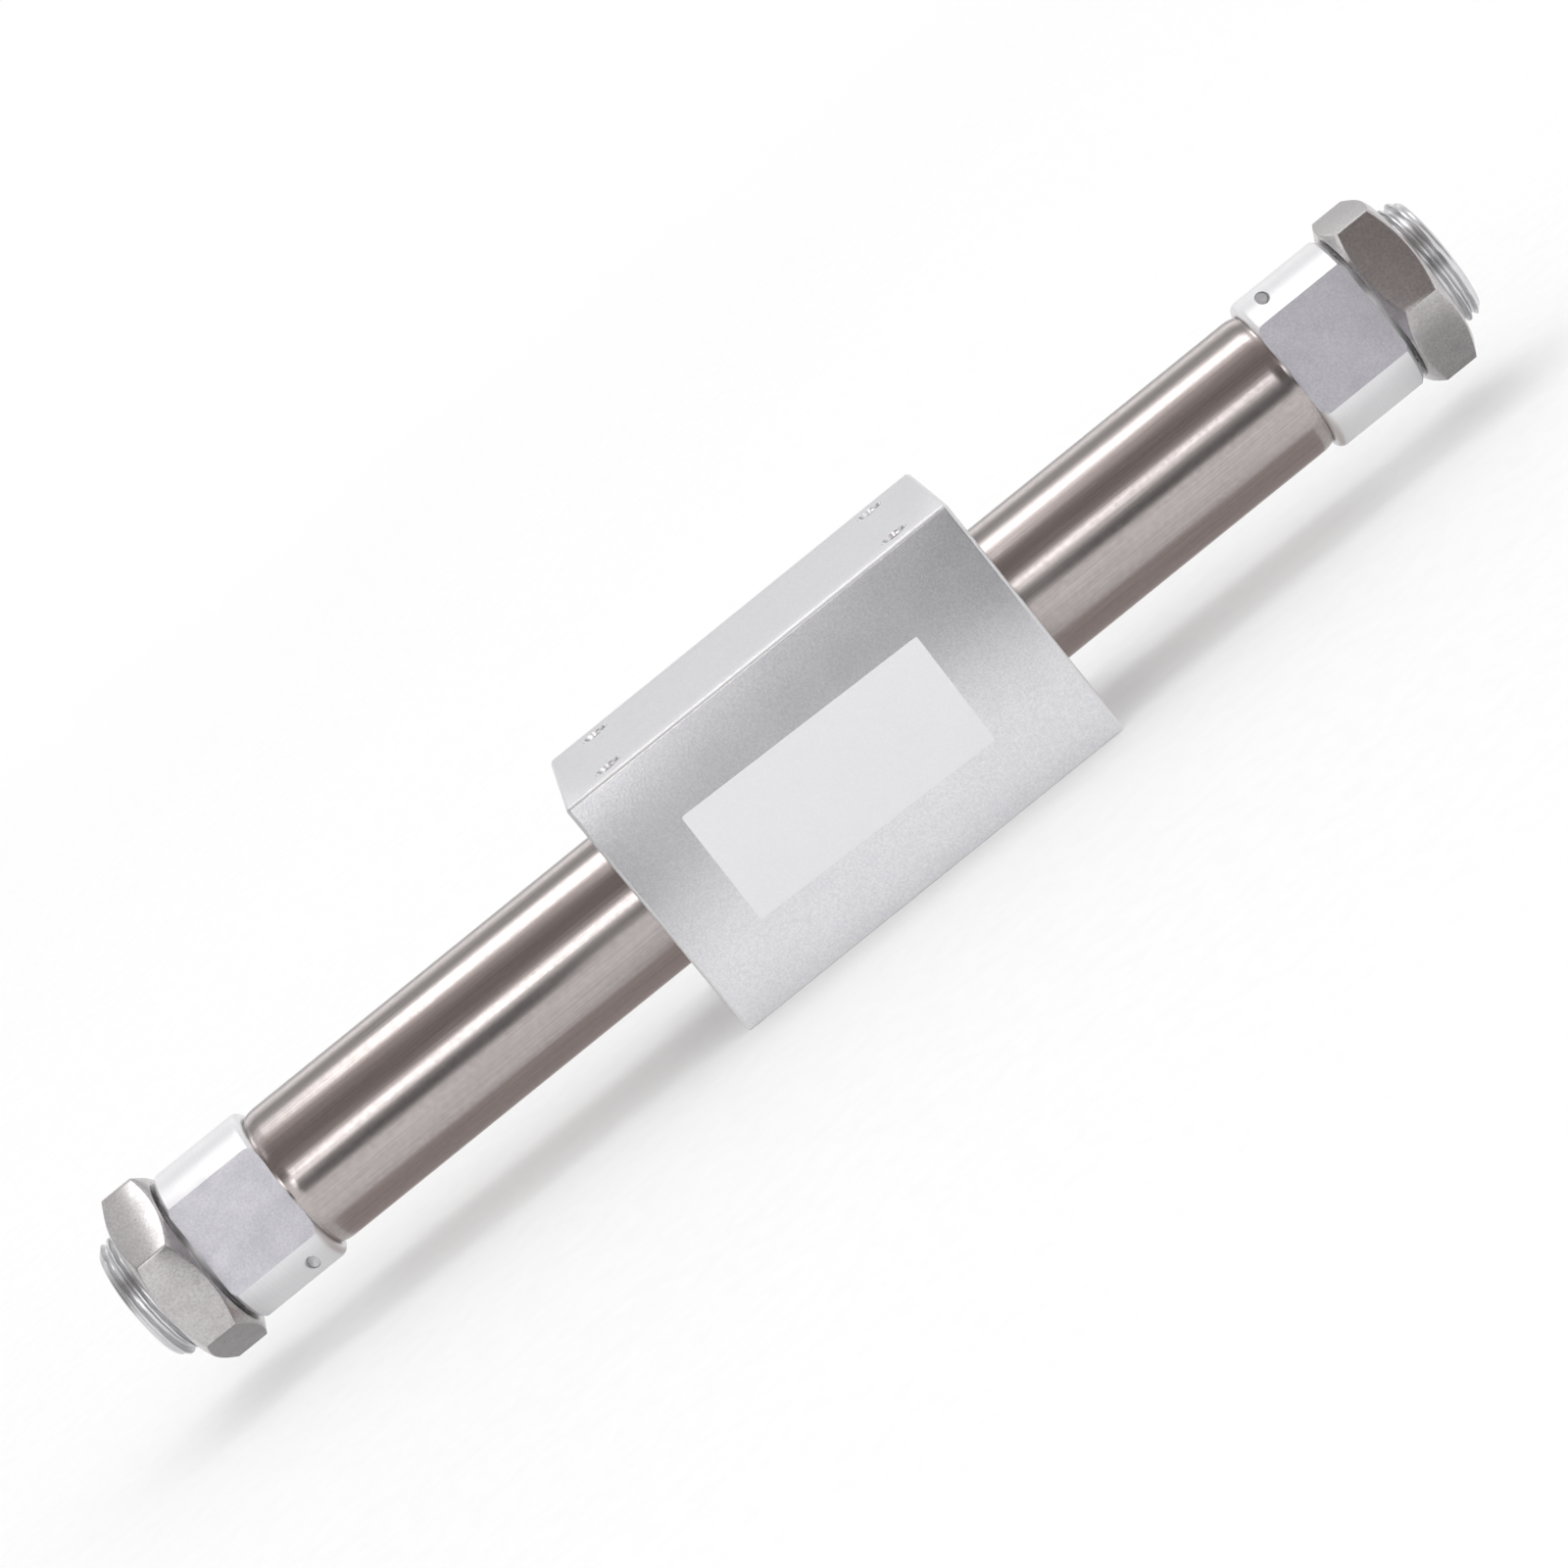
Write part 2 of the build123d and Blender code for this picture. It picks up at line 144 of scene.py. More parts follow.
class SliderSizes(bpy.types.PropertyGroup):
    edge: length("Edge", "Chamfer along the block's edges", 0.5)
    bore: length("Bore", "Bore of the block", 32.0)
    groove: length("Groove", "Depth of the snap ring's groove", 1.0)
    groove_width: length("Groove width", "Width of the snap ring's groove", 1.1)
    hole_spacing_x: length("Hole spacing X", "Spacing of the tapped holes along the block", 50.0)
    hole_spacing_y: length("Hole spacing Y", "Spacing of the tapped holes across the block", 28.0)
    hole_radius: length("Hole radius", "Tapping radius of the holes", 1.65)
    hole_crest: length("Hole crest", "Largest radius of the holes' thread", 1.98)
    hole_pitch: length("Hole pitch", "Pitch of the holes' thread", 0.7)
    hole_depth: length("Hole depth", "Depth of the holes", 6.0)
    hole_mouth: length("Hole mouth", "Radius of the countersink", 2.2)
    ring_width: length("Ring width", "Width of the snap ring's hoop", 2.2)
    scraper_radius: length("Scraper radius", "Seat of the scraper", 14.0)
    scraper_width: length("Scraper width", "Width of the scraper's seat", 2.6)


class LabelSizes(bpy.types.PropertyGroup):
    width: length("Width", "Length of the label along the block", 40.2)
    height: length("Height", "Height of the label", 18.0)
    thickness: length("Thickness", "Thickness of the film", 0.08)
    corner: length("Corner", "Rounding of the film's corners", 0.35)
    offset_x: length("Offset X", "From the middle of the front face along the block", -1.6)
    offset_z: length("Offset Z", "From the middle of the front face upwards", -0.3)
    tilt: angle("Tilt", "How far it was stuck on out of true", 1.4)


class FinishColours(bpy.types.PropertyGroup):
    tube: colour("Tube", "Ground stainless steel", "#C2BAB8")
    tube_deep: colour("Tube, deeper", "Darker grain of the ground steel", "#B4ACAA")
    block: colour("Block", "Clear anodised, blasted aluminium", "#F0F0F2")
    block_deep: colour("Block, deeper", "Dents of the blasted aluminium", "#DEDEE3")
    flat: colour("Head flat", "Clear anodised, milled aluminium", "#E3E2E8")
    flat_deep: colour("Head flat, deeper", "Dull patches of the milled aluminium", "#D2D1D9")
    edge: colour("Edge", "Machined chamfers of the block", "#F4F4F5")
    head: colour("Head round", "Clear anodised, turned aluminium", "#FAFAFB")
    head_deep: colour("Head round, deeper", "Tool rings of the turned aluminium", "#F1F1F3")
    nut: colour("Nut", "Satin nickel", "#CBC8C8")
    nut_deep: colour("Nut, deeper", "Handled patches of the nickel", "#B7B2B3")
    thread: colour("Thread", "Bright machined aluminium", "#E6E6E8")
    label: colour("Label", "Pale polyester film", "#F4F4F6")


class CylinderSettings(bpy.types.PropertyGroup):
    tube: PointerProperty(type=TubeSizes, name="Tube")
    head: PointerProperty(type=HeadSizes, name="Head covers")
    nut: PointerProperty(type=NutSizes, name="Nuts")
    slider: PointerProperty(type=SliderSizes, name="Slider")
    label: PointerProperty(type=LabelSizes, name="Label")
    finish: PointerProperty(type=FinishColours, name="Finishes")


def settings():
    """The sizes and colours of this scene's cylinder."""
    return bpy.context.scene.air_cylinder


def around(radius, turn):
    """Y and Z of a point at a radius and an angle above the front."""
    return -radius * cos(turn), radius * sin(turn)


def skin(name, rows, *materials, caps=False):
    """A closed piece through rows of points round an axis. A row of one point is a pole. Caps are flat."""
    mesh = bpy.data.meshes.new(name)
    points, starts = [], []
    for row in rows:
        starts.append(len(points))
        points.extend(row)
    faces = []
    for a, b in enumerate(range(1, len(rows))):
        first, second = rows[a], rows[b]
        count = max(len(first), len(second))
        for k in range(count):
            n = (k + 1) % count
            ring_a = [starts[a]] if len(first) == 1 else [starts[a] + k, starts[a] + n]
            ring_b = [starts[b]] if len(second) == 1 else [starts[b] + n, starts[b] + k]
            faces.append(ring_a + ring_b)
    if caps:
        faces += [list(range(len(rows[0]))), list(range(starts[-1], len(points)))]
    mesh.from_pydata(points, [], faces)
    return make(name, outward(mesh), *materials)


def outward(mesh):
    """Welds a mesh and turns its faces outwards."""
    work = bmesh.new()
    work.from_mesh(mesh)
    bmesh.ops.remove_doubles(work, verts=work.verts, dist=1e-7)
    bmesh.ops.recalc_face_normals(work, faces=work.faces)
    if work.calc_volume(signed=True) < 0:
        bmesh.ops.reverse_faces(work, faces=work.faces)
    work.to_mesh(mesh)
    work.free()
    return mesh


def circle(x, radius, steps):
    """A row of points round the axis, or the one point on it."""
    if radius <= 0:
        return [(x, 0, 0)]
    return [(x, *around(radius, 2 * pi * k / steps)) for k in range(steps)]


def turned(name, profile, *materials, steps=192, closed=False):
    """A solid turned about X through (x, radius) points. Closed joins the last point to the first."""
    rows = [circle(x, radius, steps) for x, radius in profile]
    if closed:
        rows.append(rows[0])
    return skin(name, rows, *materials)


def cutter(name, profile, slots, slot, steps):
    """What a drill or a lathe takes away. The cut shows one of the finishes of the piece."""
    return paint(turned(name, profile, *slots, steps=steps), slot)


def make(name, mesh, *materials):
    """An object for a mesh or a curve, with its finishes."""
    thing = bpy.data.objects.new(name, mesh)
    COLLECTION.objects.link(thing)
    return coat(thing, *materials)


def coat(thing, *materials):
    """Gives a piece its finishes, in place of those that it has."""
    thing.data.materials.clear()
    for material in materials:
        thing.data.materials.append(material)
    return thing


def paint(thing, slot):
    """Shows one of the piece's finishes on all its faces."""
    for face in thing.data.polygons:
        face.material_index = slot
    return thing


def twin(thing, name):
    """A copy of a piece, with a mesh of its own."""
    other = thing.copy()
    other.data = thing.data.copy()
    other.name = other.data.name = name
    COLLECTION.objects.link(other)
    return other


def settle(thing):
    """Turns an object and its modifiers into a plain mesh."""
    graph = bpy.context.evaluated_depsgraph_get()
    mesh = bpy.data.meshes.new_from_object(thing.evaluated_get(graph))
    mesh.name = thing.name
    thing.modifiers.clear()
    if thing.type == "MESH":
        thing.data = mesh
        return thing
    name = thing.name
    bpy.data.objects.remove(thing)
    return make(name, mesh)


def place(thing, matrix):
    """Puts a matrix into the mesh."""
    thing.data.transform(matrix)
    thing.data.update()
    return thing


def soften(thing, width, segments=2, above=25):
    """Rounds every edge that is sharper than an angle in degrees."""
    bevel = thing.modifiers.new("Soft edges", "BEVEL")
    bevel.width = width
    bevel.segments = segments
    bevel.limit_method = "ANGLE"
    bevel.angle_limit = radians(above)
    bevel.use_clamp_overlap = True
    bevel.harden_normals = False
    return settle(thing)


def combine(thing, others, operation="DIFFERENCE"):
    """Cuts other solids out of one, or joins them to it, and removes them."""
    for other in others:
        step = thing.modifiers.new("Combine", "BOOLEAN")
        step.operation = operation
        step.solver = "EXACT"
        step.object = other
        settle(thing)
        bpy.data.objects.remove(other)
    return thing


def dress(thing, body, slot, *nodes):
    """Shades a finished piece, and lets it ride on its body and stand for its CAD nodes. The slot is not
    used. The label stands for no nodes."""
    thing.data.shade_smooth()
    thing.data.set_sharp_from_angle(angle=radians(28))
    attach(thing, body)
    if nodes:
        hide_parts(*nodes)


def put(tree, kind, inputs=None, **facts):
    """Adds one node with its settings, and sets or links its inputs. A node there means its first output."""
    node = tree.nodes.new(kind)
    for key, value in facts.items():
        setattr(node, key, value)
    for key, value in (inputs or {}).items():
        if isinstance(value, bpy.types.Node):
            value = value.outputs[0]
        if isinstance(value, bpy.types.NodeSocket):
            tree.links.new(value, node.inputs[key])
        else:
            node.inputs[key].default_value = value
    return node


# Where a thread's flank leaves the crest and where it meets the root, as shares of half a pitch
CREST_SHARE, ROOT_SHARE = 0.125, 0.78


def thread_tree():
    """Geometry Nodes for a solid threaded rod along X, with rounded flanks and a cone at each end."""
    tree = bpy.data.node_groups.get("Machine thread")
    if tree:
        return tree
    tree = bpy.data.node_groups.new("Machine thread", "GeometryNodeTree")
    tree.is_modifier = True
    face = tree.interface
    for name in ("Start", "Length", "Pitch", "Crest Radius", "Root Radius", "Start Radius", "End Radius"):
        face.new_socket(name, in_out="INPUT", socket_type="NodeSocketFloat")
    for name in ("Steps Around", "Steps Along"):
        face.new_socket(name, in_out="INPUT", socket_type="NodeSocketInt")
    face.new_socket("Finish", in_out="INPUT", socket_type="NodeSocketMaterial")
    face.new_socket("Geometry", in_out="OUTPUT", socket_type="NodeSocketGeometry")
    known = dict(put(tree, "NodeGroupInput").outputs.items())
    grid_place = put(tree, "ShaderNodeSeparateXYZ", {0: put(tree, "GeometryNodeInputPosition")})
    known["across"], known["around"] = grid_place.outputs["X"], grid_place.outputs["Y"]
    # A grid is rolled into the rod: its rows run along the rod, and the first and last close its ends.
    # "from crest" is 0 in the middle of a crest and 1 half a pitch away from it.
    # The two mapped rows hold a value, the range that it comes from and the range that it goes to.
    for name, operation, *inputs in (
        ("rows", "ADD", "Steps Along", 3),
        ("columns", "ADD", "Steps Around", 1),
        ("last row", "SUBTRACT", "rows", 1),
        ("before last", "SUBTRACT", "rows", 2),
        ("row share", "ADD", "across", 0.5),
        ("row", "MULTIPLY", "row share", "last row"),
        ("turn share", "ADD", "around", 0.5),
        ("turn", "MULTIPLY", "turn share", 2 * pi),
        ("along", "LINEAR", "row", 1, "before last", 0, "Length"),
        ("pitches", "DIVIDE", "along", "Pitch"),
        ("advance", "SUBTRACT", "pitches", "turn share"),
        ("phase", "FRACT", "advance"),
        ("twice", "MULTIPLY_ADD", "phase", 2, -1),
        ("from crest", "ABSOLUTE", "twice"),
        ("flank", "SMOOTHSTEP", "from crest", CREST_SHARE, ROOT_SHARE, "Crest Radius", "Root Radius"),
        ("start cone", "ADD", "Start Radius", "along"),
        ("to end", "SUBTRACT", "Length", "along"),
        ("end cone", "ADD", "End Radius", "to end"),
        ("coned", "MINIMUM", "flank", "start cone"),
        ("coned twice", "MINIMUM", "coned", "end cone"),
        ("after first", "GREATER_THAN", "row", 0.5),
        ("short of last", "SUBTRACT", "last row", 0.5),
        ("before end", "LESS_THAN", "row", "short of last"),
        ("open", "MULTIPLY", "after first", "before end"),
        ("radius", "MULTIPLY", "coned twice", "open"),
        ("cosine", "COSINE", "turn"),
        ("sine", "SINE", "turn"),
        ("x", "ADD", "along", "Start"),
        ("y", "MULTIPLY", "radius", "cosine"),
        ("z", "MULTIPLY", "radius", "sine"),
    ):
        mapped = operation in ("LINEAR", "SMOOTHSTEP")
        kind, setting = ("MapRange", "interpolation_type") if mapped else ("Math", "operation")
        inputs = {k: known[value] if isinstance(value, str) else value for k, value in enumerate(inputs)}
        known[name] = put(tree, "ShaderNode" + kind, inputs, **{setting: operation}).outputs[0]
    grid = put(
        tree,
        "GeometryNodeMeshGrid",
        {"Size X": 1.0, "Size Y": 1.0, "Vertices X": known["rows"], "Vertices Y": known["columns"]},
    )
    spot = put(tree, "ShaderNodeCombineXYZ", {"X": known["x"], "Y": known["y"], "Z": known["z"]})
    rolled = put(tree, "GeometryNodeSetPosition", {"Geometry": grid, "Position": spot})
    welded = put(tree, "GeometryNodeMergeByDistance", {"Geometry": rolled, "Distance": 1e-7})
    real = put(tree, "GeometryNodeRealizeInstances", {"Geometry": welded})
    finished = put(tree, "GeometryNodeSetMaterial", {"Geometry": real, "Material": known["Finish"]})
    put(tree, "NodeGroupOutput", {0: finished})
    return tree


def thread(name, slots, slot, **values):
    """A threaded rod along X. Slots are the finishes of the piece that it is cut from or joined to."""
    rod = make(name, bpy.data.meshes.new(name))
    modifier = rod.modifiers.new("Thread", "NODES")
    tree = thread_tree()
    modifier.node_group = tree
    keys = {item.name: item.identifier for item in tree.interface.items_tree if item.in_out == "INPUT"}
    for key, value in {**values, "finish": slots[slot]}.items():
        modifier[keys[key.replace("_", " ").title()]] = value
    settle(rod)
    outward(rod.data)
    return paint(coat(rod, *slots), slot)


def pick_colour(value):
    """A linear colour: a user's own by its name, or an sRGB hex value."""
    return linear(value) if value.startswith("#") else getattr(settings().finish, value)


def surface(
    name, base, deep, rough, grain, clouds, depth,
    metal=1.0, stretch=(1, 1, 1), rings=False, cloudy=0.3,
):
    """A finish. Grain and clouds, in millimetres, turn its colour from base to deep. Clouds also turn its
    gloss between two roughnesses, and grain gives it a relief of a depth in millimetres. Stretch draws the
    grain out in a direction, and rings lay it in circles round the axis."""
    material = bpy.data.materials.new(name)
    material.use_nodes = True
    tree = material.node_tree
    tree.nodes.clear()
    where = put(tree, "ShaderNodeTexCoord").outputs["Object"]
    if rings:
        along = put(tree, "ShaderNodeSeparateXYZ", {0: where}).outputs["X"]
        off_axis = put(tree, "ShaderNodeVectorMath", {0: where, 1: (0, 1, 1)}, operation="MULTIPLY")
        radius = put(tree, "ShaderNodeVectorMath", {0: off_axis}, operation="LENGTH").outputs["Value"]
        drawn_out = put(tree, "ShaderNodeCombineXYZ", {"X": along, "Y": radius})
    else:
        drawn_out = put(tree, "ShaderNodeMapping", {"Vector": where, "Scale": stretch})
    fine = {"Vector": drawn_out, "Scale": 1 / (grain * MM), "Detail": 2.0, "Roughness": 0.6}
    marks = put(tree, "ShaderNodeTexNoise", fine)
    patches = put(tree, "ShaderNodeTexNoise", {"Vector": where, "Scale": 1 / (clouds * MM), "Detail": 3.0})
    both = put(tree, "ShaderNodeMath", {0: patches, 1: cloudy, 2: marks}, operation="MULTIPLY_ADD")
    middle, spread = 0.5 + 0.5 * cloudy, 0.2
    span = {"Value": both, "From Min": middle - spread, "From Max": middle + spread}
    share = put(tree, "ShaderNodeMapRange", span)
    colours = {0: share, 6: (*pick_colour(base), 1), 7: (*pick_colour(deep), 1)}
    tint = put(tree, "ShaderNodeMix", colours, data_type="RGBA").outputs[2]
    # noise mostly lies between 0.3 and 0.7
    span = {"Value": patches, "From Min": 0.3, "From Max": 0.7, "To Min": rough[0], "To Max": rough[1]}
    gloss = put(tree, "ShaderNodeMapRange", span)
    dents = put(tree, "ShaderNodeBump", {"Height": marks, "Distance": depth * MM})
    facts = {"Base Color": tint, "Metallic": metal, "Roughness": gloss, "Normal": dents}
    shader = put(tree, "ShaderNodeBsdfPrincipled", facts)
    put(tree, "ShaderNodeOutputMaterial", {"Surface": shader})
    return material


RINGS, NO_METAL = {"rings": True}, {"metal": 0.0}
# What surface takes for each finish: its name, colour, deeper colour, two roughnesses, grain, clouds, depth
# and whatever is out of the ordinary
FINISH_FACTS = {
    # ground and polished lengthwise: long soft streaks that blur what it mirrors, and a faint mottling.
    # Real grinding marks are 0.02 to 0.05 mm wide; drawn 0.3 mm wide so that they show
    "tube": (
        "Ground stainless steel", "tube", "tube_deep", (0.2, 0.24), 0.3, 0.9, 0.001,
        {"stretch": (0.02, 1, 1), "cloudy": 0.5},
    ),
    # blasted and clear anodised: an even sparkle of tiny dents, about 0.05 mm wide and drawn 0.3 mm
    "block": (
        "Blasted anodised aluminium", "block", "block_deep", (0.32, 0.36), 0.3, 6, 0.02, {"cloudy": 0.1}
    ),
    # milled and clear anodised: milky, with a hint of violet and faint dull patches
    "head flat": (
        "Milled anodised aluminium", "flat", "flat_deep", (0.5, 0.56), 0.35, 3, 0.01, {"cloudy": 0.4}
    ),
    # cut after blasting: smooth and bright
    "edge": ("Cut anodised edge", "edge", "#E9E9EB", (0.44, 0.5), 0.2, 2, 0.002, {}),
    # turned and clear anodised: fine rings under a milky film. The feed is 0.05 to 0.1 mm, drawn 0.2
    "head round": ("Turned anodised aluminium", "head", "head_deep", (0.43, 0.49), 0.2, 3, 0.001, RINGS),
    # cut thread: bright, with fine tool rings
    "thread": ("Machined bright aluminium", "thread", "#CECED0", (0.3, 0.36), 0.12, 2, 0.002, RINGS),
    # drilled and tapped after anodising: bare and shiny
    "hole": ("Tapped bare aluminium", "thread", "#CECED0", (0.2, 0.28), 0.12, 2, 0.001, {}),
    # satin nickel over a forged nut: soft gloss, fine pits and patches where it was handled
    "nut": ("Satin nickel plate", "nut", "nut_deep", (0.22, 0.3), 0.4, 2.5, 0.008, {"cloudy": 0.5}),
    # turned steel pin: plain pale grey, hardly any gloss
    "plug": ("Turned plug steel", "#EAEAEC", "#D8D8DA", (0.5, 0.6), 0.2, 1, 0.004, {}),
    # zinc plating: pale grey with a slight bloom
    "screw": ("Zinc plated screw steel", "#BFC0C2", "#A3A5A8", (0.3, 0.4), 0.15, 0.8, 0.002, {}),
    # phosphated: nearly black and dull, slightly oily
    "spring": ("Phosphated spring steel", "#4A4846", "#383634", (0.42, 0.56), 0.15, 1.5, 0.003, {}),
    # zinc plated plate: pale grey and satin
    "yoke": ("Zinc plated soft iron", "#B8B8B6", "#9C9C9A", (0.34, 0.46), 0.2, 3, 0.002, {}),
    # nickel over a sintered magnet: bright and slightly yellow
    "magnet": ("Nickel plated magnet", "#D2CFC8", "#C2BEB6", (0.12, 0.18), 0.3, 5, 0.001, {}),
    # centreless ground bar: even and bright, with fine rings
    "shaft": ("Ground shaft steel", "#C4C3C1", "#AEADAB", (0.18, 0.26), 0.15, 2, 0.001, RINGS),
    # turned and left plain: soft gloss over fine tool rings
    "piston": ("Turned plain aluminium", "#D4D5D8", "#BEBFC2", (0.27, 0.33), 0.12, 3, 0.003, RINGS),
    # turned like the piston, a little duller
    "collar": ("Turned collar aluminium", "#D0D1D4", "#BBBCBF", (0.31, 0.39), 0.12, 3, 0.003, RINGS),
    # moulded rubber: near black, matt, with a fine bloom
    "rubber": ("Nitrile rubber", "#1E1E1F", "#2A2A2B", (0.54, 0.66), 0.15, 2, 0.004, NO_METAL),
    # cast polyurethane: amber brown and waxy
    "urethane": ("Moulded polyurethane", "#8A6A34", "#7A5C2B", (0.4, 0.5), 0.3, 3, 0.003, NO_METAL),
    # cut from resin strip: ivory, with a dull sheen
    "resin": ("Guide ring resin", "#CFC8B6", "#BDB49F", (0.45, 0.55), 0.2, 2, 0.004, NO_METAL),
    # pressed fibres, darkened by oil: no gloss, an uneven nap
    "felt": ("Oiled felt", "#C9BC9A", "#B3A480", (0.85, 0.95), 0.12, 1.5, 0.03, NO_METAL),
    # coated film: even, with the faintest cloudiness
    "label": ("Pale polyester film", "label", "#EFEFF2", (0.5, 0.56), 0.25, 8, 0.0005, NO_METAL),
}
FINISHES = {}


def finish(name):
    """A finish by its name, made when it is first asked for."""
    if name not in FINISHES:
        *facts, special = FINISH_FACTS[name]
        FINISHES[name] = surface(*facts, **special)
    return FINISHES[name]


# Finishes of the pieces inside, by how their nodes' names start
HIDDEN_PIECES = {
    "rubber": ("tube_gasket", "piston_seal"),
    "urethane": ("bumper",),
    "shaft": ("piston_shaft",),
    "resin": ("piston_wear_ring", "slider_wear_ring"),
    "screw": ("piston_nut",),
    "yoke": ("piston_yoke", "slider_yoke"),
    "magnet": ("piston_magnet", "slider_magnet"),
    "piston": ("piston_left", "piston_right"),
    "felt": ("slider_felt",),
}


class BuildTube(bpy.types.Operator):
    """Builds the ground tube"""

    bl_idname = "air_cylinder.tube"
    bl_label = "Tube"

    def execute(self, context):
        size = settings().tube
        outer, inner = size.diameter / 2, size.bore / 2
        joint = TUBE_END - size.joint_width
        straight = joint - size.roll_width
        roll_steps, stations = 10, 6  # rows in each rolled end, and in half of the straight part
        rolled = [k / roll_steps for k in range(roll_steps + 1)]
        half = [(joint - size.roll_width * (1 - k), outer - size.roll_depth * k**2) for k in rolled]
        half += [(joint, outer - size.joint_depth), (TUBE_END, outer - size.joint_depth)]
        middle = [(straight * (k / stations - 1), outer) for k in range(1, 2 * stations)]
        profile = [(-x, r) for x, r in reversed(half)] + middle + half
        profile += [(TUBE_END, inner + size.mouth), (TUBE_END - size.mouth, inner)]
        profile += [(-TUBE_END + size.mouth, inner), (-TUBE_END, inner + size.mouth)]
        tube = turned("ground_tube", profile, finish("tube"), steps=256, closed=True)
        dress(tube, "barrel", "tube_stainless_steel", "cylinder_tube")
        return {"FINISHED"}


HEAD_COLUMNS = (24, 40)  # along each flat, and along each round side
HEAD_ROUND, HEAD_FLAT, HEAD_THREAD = range(3)  # slots of the head covers' finishes
BLOCK_FACE, BLOCK_HOLE, BLOCK_EDGE = range(3)  # slots of the block's finishes


def flatted_row(x, radius, flat):
    """A circle cut by the two flats, with points on the edges between flat and round."""
    on_flat, on_round = HEAD_COLUMNS
    edge = acos(min(1, flat / radius))
    row = []
    for side in (0, pi):
        for k in range(on_flat):
            turn = side - edge + 2 * edge * k / on_flat
            row.append((x, *around(flat / cos(turn - side), turn)))
        row += [(x, *around(radius, side + edge + (pi - 2 * edge) * k / on_round)) for k in range(on_round)]
    return row


def stub_start(head):
    """Where the stub's thread begins, just inside its neck."""
    return TUBE_END + head.body + head.relief - THREAD_RUN_IN


